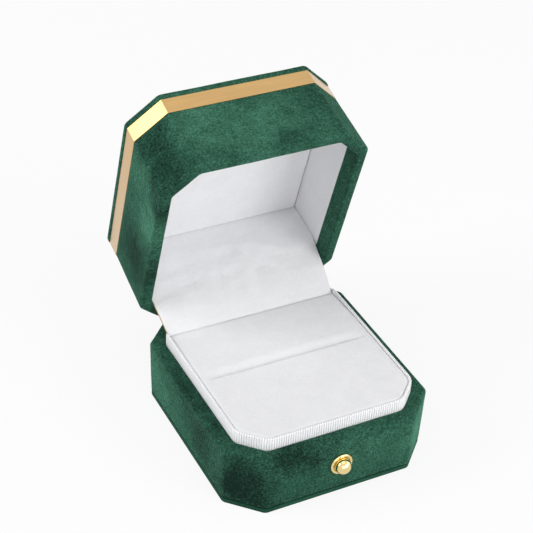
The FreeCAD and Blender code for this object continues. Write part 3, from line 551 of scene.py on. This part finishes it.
def corner_edges(bm):
    """Edges at the outline's corners: those that run along none of its sides."""
    turns = {edge: side_turn(edge) for edge in bm.edges}
    return [edge for edge, turn in turns.items() if turn is None or turn > 1]


def divide(bm, longest, cuts):
    """Divide the long edges of a mesh of four-sided faces."""
    edges = [edge for edge in bm.edges if edge.calc_length() > longest]
    bmesh.ops.subdivide_edges(bm, edges=edges, cuts=cuts, use_grid_fill=True)


def ripple(bm, lift, scale):
    """Move a mesh's points along their normals by a smooth noise."""
    bm.normal_update()
    moves = [vert.normal * (lift * noise.noise(vert.co * scale)) for vert in bm.verts]
    for vert, move in zip(bm.verts, moves):
        vert.co += move


def add_piece(bm, name, slot, nodes, body, opened=False, sharp=40):
    """Make a mesh into a piece of the object, on a body if one is named, in place of nodes."""
    if opened:
        bmesh.ops.transform(bm, matrix=OPEN, verts=bm.verts)
    bmesh.ops.recalc_face_normals(bm, faces=bm.faces)
    mesh = bpy.data.meshes.new(name)
    bm.to_mesh(mesh)
    bm.free()
    mesh.shade_smooth()
    mesh.set_sharp_from_angle(angle=math.radians(sharp))
    mesh.materials.append(finish(slot))
    piece = bpy.data.objects.new(name, mesh)
    bpy.context.scene.collection.objects.link(piece)
    if nodes:
        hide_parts(*nodes)
    if body:
        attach(piece, body)
    return piece


def cut_away(bm, low, high):
    """Cut a box out of a thin closed wall and close the wall's cut edges."""
    for axis in range(3):
        for corner in (low, high):
            normal = Vector([float(index == axis) for index in range(3)])
            geometry = bm.verts[:] + bm.edges[:] + bm.faces[:]
            bmesh.ops.bisect_plane(bm, geom=geometry, plane_co=corner, plane_no=normal)
    inside = []
    for face in bm.faces:
        middle = face.calc_center_median()
        if all(low[axis] < middle[axis] < high[axis] for axis in range(3)):
            inside.append(face)
    bmesh.ops.delete(bm, geom=inside, context="FACES")
    bmesh.ops.bridge_loops(bm, edges=[edge for edge in bm.edges if edge.is_boundary])


def drape(bm):
    """Round the corners of a velvet mesh, divide its faces and let its nap rise and fall."""
    bevel(bm, corner_edges(bm), sizes().corner_round, CORNER_STEPS)
    divide(bm, VELVET_EDGE, VELVET_CUTS)
    ripple(bm, sizes().nap_lift, VELVET_WAVES)


def velvet_cover(away, rim, wall, hem):
    """A mesh of velvet that comes up a wall from a level, goes over the rim and turns in as a hem."""
    bm = bmesh.new()
    lengths = sizes()
    cloth = lengths.velvet
    inner = wall + cloth * 2
    way = 1 if rim > away else -1
    under, hem_end = rim - way * cloth, rim - way * hem
    profile = [(0, away), (-lengths.draft, rim), (inner, rim), (inner, hem_end), (inner - cloth, hem_end),
               (inner - cloth, under), (cloth - lengths.draft, under), (cloth, away)]
    rings = loft(bm, profile, closed=True)
    bevel(bm, rings[1], lengths.rim_round, RIM_STEPS)
    bevel(bm, rings[2], lengths.hem_round, HEM_STEPS)
    bevel(bm, rings[0], lengths.hem_round * END_ROUND, FOLD_STEPS)
    drape(bm)
    return bm


class RINGBOX_OT_base_cover(bpy.types.Operator):
    """Velvet of the base and the wrapped card under it"""

    bl_idname = "ring_box.base_cover"
    bl_label = "Base Cover"

    def execute(self, context):
        lengths = sizes()
        cover = velvet_cover(BASE_LOW.z + lengths.seam, BASE_RIM, lengths.base_wall, lengths.base_hem)
        leaf_low, leaf_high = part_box("hinge_base_leaf")
        room = (leaf_high.z - PIN.z) * 1.25
        low = Vector((leaf_low.x - lengths.ribbon, PIN.y - lengths.base_wall * 2, PIN.z - room))
        high = Vector((leaf_high.x + lengths.ribbon, HALF_DEPTH + room, BASE_RIM + room))
        cut_away(cover, low, high)
        add_piece(cover, "base_velvet_cover", "green_velvet", ["base_velvet"], "base")
        bm = bmesh.new()
        card_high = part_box("bottom_cover")[1]
        inset = HALF_WIDTH - card_high.x
        hem = card_high.z + lengths.card_hem
        profile = [(lengths.flat_inset, 0), (inset, 0), (inset, hem), (lengths.velvet, hem),
                   (lengths.velvet, card_high.z), (lengths.flat_inset, card_high.z)]
        rings = loft(bm, profile, closed=False)
        bevel(bm, rings[1] + rings[2], lengths.card_round, HEM_STEPS)
        bevel(bm, corner_edges(bm), lengths.corner_round, CORNER_STEPS)
        add_piece(bm, "bottom_cloth", "green_cloth", ["bottom_cover"], "base")
        return {"FINISHED"}


class RINGBOX_OT_lid_cover(bpy.types.Operator):
    """Velvet of the lid and its wrapped cap"""

    bl_idname = "ring_box.lid_cover"
    bl_label = "Lid Cover"

    def execute(self, context):
        lengths = sizes()
        cover = velvet_cover(BODY_TOP, LID_RIM, lengths.lid_wall, lengths.lid_hem)
        add_piece(cover, "lid_velvet_cover", "green_velvet", ["lid_velvet"], "lid", opened=True)
        bm = bmesh.new()
        inset = HALF_WIDTH - CAP_HIGH.x
        middle = lengths.flat_inset
        profile = [(middle, BAND_TOP), (inset, BAND_TOP), (inset, CAP_HIGH.z), (middle / 2, CAP_HIGH.z),
                   (middle, CAP_HIGH.z + lengths.cap_crown)]
        rings = loft(bm, profile, closed=False)
        bevel(bm, rings[2], lengths.cap_round, RIM_STEPS)
        bevel(bm, rings[1], lengths.hem_round * END_ROUND, FOLD_STEPS)
        drape(bm)
        add_piece(bm, "lid_cap_cover", "green_velvet", ["lid_cap_velvet"], "lid", opened=True)
        return {"FINISHED"}


class RINGBOX_OT_gold_band(bpy.types.Operator):
    """Folded gold band between the lid's body and its cap"""

    bl_idname = "ring_box.gold_band"
    bl_label = "Gold Band"

    def execute(self, context):
        lengths = sizes()
        bm = bmesh.new()
        outer = lengths.velvet - lengths.band
        inner = lengths.velvet
        profile = [(outer, BODY_TOP), (outer, BAND_TOP), (inner, BAND_TOP), (inner, BODY_TOP)]
        rings = loft(bm, profile, closed=True)
        bevel(bm, rings[0] + rings[1], lengths.band_fold, BAND_STEPS)
        bevel(bm, corner_edges(bm), lengths.band_fold, FOLD_STEPS)
        half = lengths.band_joint / 2
        low = Vector((-half, 0, BODY_TOP - half))
        high = Vector((half, HALF_DEPTH + half, BAND_TOP + half))
        cut_away(bm, low, high)
        add_piece(bm, "gold_band_strip", "gold_strip", ["gold_band"], "lid", opened=True, sharp=15)
        return {"FINISHED"}


def slot_line():
    """Distance of the ring slot's lip from the middle of the box, towards the back."""
    return PAD_FRONT[1].y + sizes().slot_lip


def smooth_step(low, high, value):
    """0 below low, 1 above high and smooth between."""
    share = min(max((value - low) / (high - low), 0), 1)
    return share * share * (3 - 2 * share)


def round_drop(gap, radius):
    """Fall of a rounded edge at a gap from its side."""
    if gap >= radius:
        return 0.0
    return radius - math.sqrt(max(radius ** 2 - (radius - max(gap, 0)) ** 2, 0))


# The floor of the slot is a line: a point this near to it lies on it
SLOT_FLOOR = 0.00002


def pad_level(across, deep, gap):
    """Level of the pad's face: crowned, rounded at a gap from its sides and rolled into the slot."""
    lengths = sizes()
    front, rear = PAD_FRONT[0].y, PAD_REAR[1].y
    middle, half = (front + rear) / 2, (rear - front) / 2
    crown = lengths.pad_crown if deep > middle else lengths.pad_front_crown
    edge = lengths.pad_front_round
    edge += (lengths.pad_round - edge) * smooth_step(front, front + lengths.corner_leg, deep)
    level = PAD_FRONT[1].z - crown * ((deep - middle) / half) ** 2 - round_drop(gap, edge)
    stop = PAD_FRONT[1].x - lengths.slot_end
    open_share = 1 - smooth_step(stop - lengths.slot_fade, stop, abs(across))
    away = deep - slot_line()
    if abs(away) < SLOT_FLOOR:
        drop = lengths.slot_depth
    elif away < 0:
        drop = round_drop(-away, lengths.slot_lip)
    else:
        drop = lengths.slot_dip * (1 - smooth_step(0, lengths.slot_slope, away))
    return level - drop * open_share


def flap_foot():
    """Where the flap leaves the rear pad, in the middle of the box."""
    lengths = sizes()
    return Vector((0, FLAP_LOW.y, pad_level(0, PAD_REAR[1].y, lengths.pad_round) - lengths.flap))


def flap_point(share, across=0.0):
    """A point of the flap's face, an arch from the pad at share 0 to the open lid's ceiling at share 1."""
    foot = flap_foot()
    head = OPEN @ Vector((0, CEILING_HIGH.y, CEILING_LOW.z))
    span = head - foot
    square = Vector((0, -span.z, span.y)).normalized()
    point = foot + span * share + square * (sizes().flap_arch * 4 * share * (1 - share))
    point.x = across
    return point


def flap_level(depth):
    """Height of the flap's face at a depth of the box."""
    foot, head = flap_point(0), flap_point(1)
    share = (depth - foot.y) / (head.y - foot.y)
    return flap_point(min(max(share, 0), 1)).z


def flap_half_width(share):
    """Half the flap's width: as wide as the pad at its foot, and as the lid's lining at its head."""
    pad_half = PAD_REAR[1].x
    lining_half = PANEL_LOW.x
    return pad_half + (lining_half - pad_half) * min(share * FLAP_FLARE, 1) - sizes().paper_margin


def follow(spot, core, radius):
    """Distance of a point from a core outline, less than 0 inside it, and its run round it at a radius."""
    nearest, place, run = None, 0, 0
    inside = math.inf
    for index, corner in enumerate(core):
        start, end = Vector(core[index - 1]), Vector(corner)
        length = (end - start).length
        along = (end - start) / length
        reach = (spot - start).dot(along)
        inside = min(inside, along.cross(spot - start))
        close = start + along * min(max(reach, 0), length)
        gap = (spot - close).length
        if reach >= 0 and (nearest is None or gap < nearest):
            nearest, place = gap, run + min(reach, length)
            if reach > length:
                place += radius * math.atan2((spot - end).dot(along), abs((spot - end).cross(along)))
        run += length + radius * math.tau / len(core)
    return (-inside if inside > 0 else nearest), place


def run_length(core, radius):
    """Length of the line at a radius round a core outline."""
    sides = sum((Vector(corner) - Vector(core[index - 1])).length for index, corner in enumerate(core))
    return sides + math.tau * radius


class RINGBOX_OT_neck_ribbon(bpy.types.Operator):
    """Ribbed ribbon folded over the neck, trimmed under the flap"""

    bl_idname = "ring_box.neck_ribbon"
    bl_label = "Neck Ribbon"

    def execute(self, context):
        lengths = sizes()
        bm = bmesh.new()
        outer = HALF_WIDTH - NECK_HIGH.x
        inner = outer + lengths.neck
        low, top = NECK_LOW.z, NECK_HIGH.z
        cloth = lengths.ribbon
        profile = [(outer, low), (outer, top), (inner, top), (inner, low), (inner - cloth, low),
                   (inner - cloth, top - cloth), (outer + cloth, top - cloth), (outer + cloth, low)]
        rings = loft(bm, profile, closed=True)
        bevel(bm, rings[1] + rings[2], lengths.neck * NECK_ROUND, HEM_STEPS)
        tangent = lengths.neck_round * math.tan(math.pi / 8)
        bevel(bm, corner_edges(bm), tangent, NECK_CORNER_STEPS)
        self.divide_sides(bm)
        geometry = bm.verts[:] + bm.edges[:] + bm.faces[:]
        rear = (0, NECK_HIGH.y, 0)
        bmesh.ops.bisect_plane(bm, geom=geometry, plane_co=rear, plane_no=(0, 1, 0), clear_outer=True)
        bmesh.ops.holes_fill(bm, edges=[edge for edge in bm.edges if edge.is_boundary])
        self.raise_ribs(bm, outer)
        self.trim_under_flap(bm)
        add_piece(bm, "neck_ribbon_fold", "white_ribbon", ["neck_ribbon"], "base", sharp=60)
        return {"FINISHED"}

    def divide_sides(self, bm):
        """Divide the straight sides into the steps that the ribs need, side by side."""
        steps = 6
        groups = {}
        for edge in bm.edges:
            turn = side_turn(edge)
            if turn is None or turn > 1 or edge.calc_length() < sizes().rib_pitch * 2:
                continue
            middle = (edge.verts[0].co + edge.verts[1].co).to_2d()
            side = round(math.degrees(math.atan2(middle.y, middle.x)) / 45)
            groups.setdefault(side % 8, []).append(edge)
        for edges in groups.values():
            cuts = round(edges[0].calc_length() / sizes().rib_pitch * steps) - 1
            bmesh.ops.subdivide_edges(bm, edges=edges, cuts=cuts, use_grid_fill=True)

    def raise_ribs(self, bm, inset):
        """Lift the ribs out of the ribbon's face, a whole number of them round the neck."""
        bm.normal_update()
        lengths = sizes()
        core = outline(inset + lengths.neck_round)
        total = run_length(core, lengths.neck_round)
        ribs = round(total / lengths.rib_pitch)
        # The rib's share, 0 in a groove and 1 on a crest, is kept on the mesh and also paints shade into the
        # grooves in the ribbon's finish.
        rib = bm.verts.layers.float.new("rib")
        lifts = []
        for vert in bm.verts:
            away, place = follow(vert.co.to_2d(), core, lengths.neck_round)
            vert[rib] = 0.5 - 0.5 * math.cos(math.tau * ribs * place / total)
            outside = away > lengths.neck_round - lengths.neck / 2
            lifts.append(lengths.rib_height * (vert[rib] - 0.5) if outside else 0)
        for vert, lift in zip(bm.verts, lifts):
            vert.co += vert.normal * lift

    def trim_under_flap(self, bm):
        """Press the ribbon's top down where the flap runs over it."""
        lengths = sizes()
        thick = lengths.flap + lengths.paper * 2
        reach = flap_half_width(FLAP_OVER_NECK) + lengths.paper
        for vert in bm.verts:
            if vert.co.y > FLAP_LOW.y and abs(vert.co.x) < reach:
                vert.co.z = min(vert.co.z, flap_level(vert.co.y) - thick)


class RINGBOX_OT_ring_pad(bpy.types.Operator):
    """Flocked sponge pad with the ring slot across it"""

    bl_idname = "ring_box.ring_pad"
    bl_label = "Ring Pad"

    # Faces along and across the pad, steps round a corner, and rows beside the slot as shares of its slope
    grid = 110
    corner_steps = 10
    slot_rows = (0, 0.02, 0.05, 0.09, 0.13, 0.17, 0.25, 0.35, 0.5, 0.7, 1)

    def execute(self, context):
        lengths = sizes()
        bm = bmesh.new()
        side = PAD_FRONT[1].x + lengths.pad_spread
        front, rear = PAD_FRONT[0].y - lengths.pad_spread, PAD_REAR[1].y
        bmesh.ops.create_grid(bm, x_segments=self.grid, y_segments=self.grid, size=0.5)
        for vert in bm.verts:
            vert.co.x *= side * 2
            vert.co.y = front + (vert.co.y + 0.5) * (rear - front)
        inset = HALF_WIDTH - side
        radius = lengths.neck_round - lengths.neck
        core = outline(inset + radius)
        steps = self.corner_steps
        for corner, first_turn in ((core[0], -90), (core[1], -45)):
            for step in range(steps + 1):
                turn = math.radians(first_turn + 45 * step / steps)
                normal = Vector((math.cos(turn), math.sin(turn), 0))
                spot = Vector((*corner, 0)) + normal * radius
                self.cut(bm, spot, normal, True)
                self.cut(bm, spot * Vector((-1, 1, 1)), normal * Vector((-1, 1, 1)), True)
        slot = slot_line()
        for share in sorted({sign * row for row in self.slot_rows for sign in (1, -1)}):
            self.cut(bm, (0, slot + share * lengths.slot_slope, 0), Vector((0, 1, 0)), False)
        edge = [item for item in bm.edges if item.is_boundary]
        for vert in bm.verts:
            gap = radius - follow(vert.co.to_2d(), core, radius)[0]
            rear_gap = rear - vert.co.y + lengths.pad_round * REAR_ROUND
            vert.co.z = pad_level(vert.co.x, vert.co.y, min(gap, rear_gap))
        made = bmesh.ops.extrude_edge_only(bm, edges=edge)["geom"]
        for vert in (item for item in made if isinstance(item, bmesh.types.BMVert)):
            vert.co.z = PAD_FRONT[0].z
        bmesh.ops.contextual_create(bm, geom=[item for item in bm.edges if item.is_boundary])
        piece = add_piece(bm, "ring_pad", "white_flock", ["pad_front", "pad_rear"], "base", sharp=75)
        return {"FINISHED"}

    def cut(self, bm, spot, normal, clear):
        """Cut the sheet along a line, and clear what lies beyond it if asked."""
        geometry = bm.verts[:] + bm.edges[:] + bm.faces[:]
        bmesh.ops.bisect_plane(bm, geom=geometry, plane_co=spot, plane_no=normal, clear_outer=clear)


class RINGBOX_OT_lid_lining(bpy.types.Operator):
    """Flocked panels on the lid's walls and the padded ceiling"""

    bl_idname = "ring_box.lid_lining"
    bl_label = "Lid Lining"

    def execute(self, context):
        lengths = sizes()
        outer = HALF_WIDTH - PANEL_HIGH.x
        inner = HALF_WIDTH - PANEL_LOW.x
        panels = {"lid_lining_front": 0, "lid_lining_front_right": 1, "lid_lining_right": 2,
                  "lid_lining_left": 6, "lid_lining_front_left": 7}
        walls, faces = outline(outer), outline(inner)
        for node, side in panels.items():
            start, end = (side - 1) % len(walls), side
            plan = [walls[start], walls[end], faces[end], faces[start]]
            bm = bmesh.new()
            self.raise_plan(bm, plan, PANEL_LOW.z, PANEL_HIGH.z)
            bevel(bm, bm.edges[:], lengths.lining_round, FOLD_STEPS)
            divide(bm, LINING_EDGE, LINING_CUTS)
            ripple(bm, lengths.nap_lift, LINING_WAVES)
            add_piece(bm, node + "_flock", "white_flock", [node], "lid", opened=True)
        corners = outline(HALF_WIDTH - CEILING_HIGH.x)
        rear = CEILING_HIGH.y
        right, left = corners[1][0], corners[6][0]
        plan = [corners[7], corners[0], corners[1], (right, rear), (left, rear), corners[6]]
        bm = bmesh.new()
        self.raise_plan(bm, plan, CEILING_LOW.z, CEILING_HIGH.z)
        back = CEILING_HIGH.z - lengths.ribbon
        visible = [edge for edge in bm.edges if all(vert.co.z < back for vert in edge.verts)]
        bevel(bm, visible, lengths.ceiling_round, RIM_STEPS)
        piece = add_piece(bm, "ceiling_flock", "white_flock", ["ceiling_cloth"], "lid", opened=True)
        return {"FINISHED"}

    def raise_plan(self, bm, plan, low, high):
        """A block over a plan between two levels."""
        floor = bm.faces.new([bm.verts.new((*spot, low)) for spot in plan])
        made = bmesh.ops.extrude_face_region(bm, geom=[floor], use_keep_orig=True)["geom"]
        raised = [item for item in made if isinstance(item, bmesh.types.BMVert)]
        bmesh.ops.translate(bm, verts=raised, vec=(0, 0, high - low))


def copy_of_node(node):
    """A mesh copied from a node, with its loose triangles joined."""
    bm = bmesh.new()
    bm.from_mesh(frame["nodes"][node].data)
    bmesh.ops.remove_doubles(bm, verts=bm.verts, dist=1e-6)
    return bm


class RINGBOX_OT_hinge_flap(bpy.types.Operator):
    """Flap of flocked cloth over the hinge, its paper and the flat spring behind it"""

    bl_idname = "ring_box.hinge_flap"
    bl_label = "Hinge Flap"

    # Length of the flap tucked in at each end, and a share along it whose point is worked out but not used
    tuck = 0.003
    bend = 0.45

    # Wrinkles: waves across per metre, waves along, the place in the noise and the strength
    wrinkles = ((95, 3.1, 3.0, 1.0), (40, 6, 8.0, 1.0), (240, 10, 5.0, 0.7), (700, 26, 2.0, 0.2))

    # Faces across and along, and the share of the flap over which its slope is taken
    grid = (110, 80)
    slope_share = 0.01

    def execute(self, context):
        lengths = sizes()
        foot, head = flap_point(0), flap_point(1)
        flap = self.sheet(0, lengths.flap, 0, lengths.flap_crease)
        piece = add_piece(flap, "hinge_flap_cloth", "white_flock", ["hinge_flap"], None, sharp=60)
        length = (head - foot).length + self.tuck * 2
        flap_half_width(1) * 2
        self.area(length)
        flap_point(self.bend)
        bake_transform(piece)
        paper = self.sheet(lengths.flap, lengths.paper, lengths.paper_margin, 0)
        piece = add_piece(paper, "flap_paper", "tan_paper", ["flap_backing"], None, sharp=60)
        flap_half_width(1) * 2
        self.area(length)
        flap_point(self.bend)
        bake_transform(piece)
        spring = copy_of_node("hinge_spring")
        piece = add_piece(spring, "hinge_spring_strip", "hinge_steel", ["hinge_spring"], None, sharp=30)
        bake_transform(piece)
        return {"FINISHED"}

    def area(self, length):
        """Flat area of the flap, whose width changes along it."""
        steps = 20
        return sum(flap_half_width(step / steps) * 2 for step in range(steps)) / steps * length

    def sheet(self, depth, thickness, margin, crease):
        """A sheet along the flap's line, a depth behind its face, tucked in at both ends."""
        bm = bmesh.new()
        across_faces, along_faces = self.grid
        bmesh.ops.create_grid(bm, x_segments=across_faces, y_segments=along_faces, size=0.5)
        foot, head = flap_point(0), flap_point(1)
        span = (head - foot).length
        tuck_share = self.tuck / span
        into_lid = (OPEN.to_3x3() @ Vector((0, 0, 1))) * self.tuck
        for vert in bm.verts:
            along = (vert.co.y + 0.5) * (1 + 2 * tuck_share) - tuck_share
            share = min(max(along, 0), 1)
            across = vert.co.x * 2 * (flap_half_width(share) + margin)
            point = flap_point(share, across)
            ahead = flap_point(share + self.slope_share) - flap_point(share - self.slope_share)
            square = Vector((0, -ahead.z, ahead.y)).normalized()
            fold = math.sin(math.pi * share)
            wave = 0.0
            for waves, rows, layer, strength in self.wrinkles:
                wave += noise.noise(Vector((across * waves, share * rows, layer))) * strength
            point += square * (crease * wave * fold - depth)
            if along < 0:
                point += Vector((0, 0, along / tuck_share * self.tuck))
            elif along > 1:
                point += into_lid * ((along - 1) / tuck_share)
            vert.co = point
        bmesh.ops.recalc_face_normals(bm, faces=bm.faces)
        if bm.faces[:][0].normal.z < 0:
            bmesh.ops.reverse_faces(bm, faces=bm.faces)
        bmesh.ops.solidify(bm, geom=bm.faces[:], thickness=thickness)
        return bm


class RINGBOX_OT_knob(bpy.types.Operator):
    """Polished ball on its dished seat"""

    bl_idname = "ring_box.knob"
    bl_label = "Knob"

    # Steps of half a turn, the stem as a share of the ball, the dish's floor and foot as shares of its rim
    arc_steps = 32
    stem_share = 0.5
    floor_share = 0.8
    foot_share = 0.4

    def execute(self, context):
        face = DISH_HIGH.y
        level = (BALL_LOW.z + BALL_HIGH.z) / 2
        radius = (BALL_HIGH.z - BALL_LOW.z) / 2
        height = face - BALL_LOW.y
        dish = (DISH_HIGH.z - DISH_LOW.z) / 2
        rim = (DISH_HIGH.y - DISH_LOW.y) / 2
        stem = radius * self.stem_share
        floor = rim * self.floor_share
        centre = height - radius
        arc = [math.pi * step / self.arc_steps for step in range(self.arc_steps + 1)]
        ball = [(radius * math.sin(turn), centre + radius * math.cos(turn)) for turn in arc]
        ball = [(away, rise) for away, rise in ball if rise > floor]
        ball += [(math.sqrt(radius ** 2 - (centre - floor) ** 2), floor), (stem, floor), (stem, 0), (0, 0)]
        self.turn(ball, face, level, "knob_ball_turned", "knob_ball")
        saucer = [(stem, 0), (stem, floor)]
        lip = reversed(arc[::2])
        saucer += [(dish - rim + rim * math.cos(turn), rim + rim * math.sin(turn)) for turn in lip]
        saucer += [(dish - rim * self.foot_share, 0), (stem, 0)]
        self.turn(saucer, face, level, "knob_dish_turned", "knob_dish")
        return {"FINISHED"}

    def turn(self, profile, face, level, name, node):
        """Turn a profile of radii and heights about the knob's axis."""
        bm = bmesh.new()
        points = [bm.verts.new((radius, face - height, level)) for radius, height in profile]
        edges = [bm.edges.new(pair) for pair in zip(points, points[1:])]
        bmesh.ops.spin(bm, geom=points + edges, cent=(0, face, level), axis=(0, 1, 0), angle=math.tau,
                       steps=sizes().ball_steps, use_merge=True)
        bmesh.ops.remove_doubles(bm, verts=bm.verts, dist=1e-7)
        add_piece(bm, name, "gold_polish", [node], "base", sharp=50)


class RINGBOX_OT_inner_parts(bpy.types.Operator):
    """Finishes of the shells, boards and hinge that the cloth covers"""

    bl_idname = "ring_box.inner_parts"
    bl_label = "Inner Parts"

    def execute(self, context):
        for entry in frame["record"]["subparts"]:
            mesh = frame["nodes"][entry["node"]].data
            mesh.materials.clear()
            mesh.materials.append(finish(entry["material_slot"]))
        return {"FINISHED"}


class RINGBOX_OT_stage(bpy.types.Operator):
    """Pale floor, soft studio light and the camera"""

    bl_idname = "ring_box.stage"
    bl_label = "Stage"

    # Half the floor's width, the share of it seen as plain white, and the sky's light on the object
    floor_reach = 3
    floor_glow = 0.88
    sky_light = 0.3

    def execute(self, context):
        self.floor()
        self.sky(context.scene)
        middle = Vector((0, 0.012, 0.035))
        # Name, place, width and power of each lamp
        lamps = (
            ("top_lamp", (0.0, -0.15, 1.1), 0.8, 1.0),
            ("front_lamp", (-0.35, -1.05, 0.4), 0.7, 3.2),
            ("front_right_lamp", (0.5, -0.95, 0.5), 0.6, 6.3),
            ("right_lamp", (0.85, -0.35, 0.45), 0.6, 1.9),
            ("left_lamp", (-0.85, 0.24, 0.56), 0.6, 6.8),
        )
        for name, place, width, power in lamps:
            self.lamp(name, Vector(place), middle, width, power)
        self.camera(context.scene)
        context.scene.view_settings.view_transform = "Standard"
        return {"FINISHED"}

    def floor(self):
        """A wide white floor, mostly seen as plain white, that keeps a soft shadow."""
        bm = bmesh.new()
        bmesh.ops.create_grid(bm, x_segments=1, y_segments=1, size=self.floor_reach)
        mesh = bpy.data.meshes.new("floor")
        bm.to_mesh(mesh)
        bm.free()
        floor = bpy.data.objects.new("floor", mesh)
        bpy.context.scene.collection.objects.link(floor)
        material = bpy.data.materials.new("floor_paper")
        material.use_nodes = True
        tree = material.node_tree
        tree.nodes.clear()
        start = Wire(tree, None)
        paper = start.add("ShaderNodeBsdfDiffuse", None, {"Color": (0.85, 0.85, 0.86, 1)})
        glow = start.add("ShaderNodeEmission", None, {"Color": (1, 1, 1, 1), "Strength": 1.0})
        seen = background_ray(start) * self.floor_glow
        mixed = start.add("ShaderNodeMixShader", None, {0: seen, 1: paper, 2: glow})
        output = tree.nodes.new("ShaderNodeOutputMaterial")
        tree.links.new(mixed.socket, output.inputs["Surface"])
        mesh.materials.append(material)

    def sky(self, scene):
        """White to the eye and in metal, and a plain soft light on the rest."""
        world = bpy.data.worlds.new("studio")
        scene.world = world
        world.use_nodes = True
        tree = world.node_tree
        tree.nodes.clear()
        start = Wire(tree, None)
        strength = background_ray(start) * (1 - self.sky_light) + self.sky_light
        light = start.add("ShaderNodeBackground", None, {"Color": (1, 1, 1, 1), "Strength": strength})
        output = tree.nodes.new("ShaderNodeOutputWorld")
        tree.links.new(light.socket, output.inputs["Surface"])

    def lamp(self, name, place, target, width, power):
        """A square soft box that faces the object."""
        light = bpy.data.lights.new(name, "AREA")
        light.shape = "SQUARE"
        light.size = width
        light.energy = power
        lamp = bpy.data.objects.new(name, light)
        lamp.location = place
        lamp.rotation_euler = (target - place).to_track_quat("-Z", "Y").to_euler()
        bpy.context.scene.collection.objects.link(lamp)

    def camera(self, scene):
        """The photograph's camera, from its bearing, height, roll and distance."""
        lens = bpy.data.cameras.new("camera")
        lens.sensor_width = 36
        lens.lens = 104.5
        lens.clip_start = 0.01
        camera = bpy.data.objects.new("camera", lens)
        bearing, height, roll = (math.radians(turn) for turn in (-28.39, 35.775, 3.221))
        turned = Matrix.Rotation(bearing, 4, "Z") @ Matrix.Rotation(math.pi / 2 - height, 4, "X")
        turned = turned @ Matrix.Rotation(roll, 4, "Z")
        target, distance = Vector((0.00011, 0.01480, 0.04202)), 0.42
        camera.matrix_world = Matrix.Translation(target) @ turned @ Matrix.Translation((0, 0, distance))
        scene.collection.objects.link(camera)
        scene.camera = camera


def background_ray(start):
    """1 for what the camera sees straight, in metal or through glass, and 0 for light on the object."""
    rays = ("Is Camera Ray", "Is Glossy Ray", "Is Transmission Ray")
    kinds = [start.add("ShaderNodeLightPath", output=ray) for ray in rays]
    return start.math("MINIMUM", kinds[0] + kinds[1] + kinds[2], 1)


class RINGBOX_PT_panel(bpy.types.Panel):
    """Operators and values of the ring box"""

    bl_idname = "RINGBOX_PT_panel"
    bl_label = "Ring Box"
    bl_space_type = "VIEW_3D"
    bl_region_type = "UI"
    bl_category = "Ring Box"

    def draw(self, context):
        for step in STEPS:
            self.layout.operator(step.bl_idname)
        for group in (sizes(), colours()):
            for key in group.bl_rna.properties.keys():
                if key not in ("rna_type", "name"):
                    self.layout.prop(group, key)


STEPS = (RINGBOX_OT_base_cover, RINGBOX_OT_lid_cover, RINGBOX_OT_gold_band, RINGBOX_OT_neck_ribbon,
         RINGBOX_OT_ring_pad, RINGBOX_OT_lid_lining, RINGBOX_OT_hinge_flap, RINGBOX_OT_knob,
         RINGBOX_OT_inner_parts, RINGBOX_OT_stage)
CLASSES = (RingBoxSizes, RingBoxColours, *STEPS, RINGBOX_PT_panel)


def register():
    """Register the classes and hang the values on the scene."""
    for item in CLASSES:
        bpy.utils.register_class(item)
    bpy.types.Scene.ring_box_sizes = PointerProperty(type=RingBoxSizes)
    bpy.types.Scene.ring_box_colours = PointerProperty(type=RingBoxColours)


def unregister():
    """Take the values and the classes away."""
    del bpy.types.Scene.ring_box_colours
    del bpy.types.Scene.ring_box_sizes
    for item in reversed(CLASSES):
        bpy.utils.unregister_class(item)


def main():
    """Build every piece in order."""
    register()
    for step in STEPS:
        group, name = step.bl_idname.split(".")
        getattr(getattr(bpy.ops, group), name)()


if __name__ == "__main__":
    main()
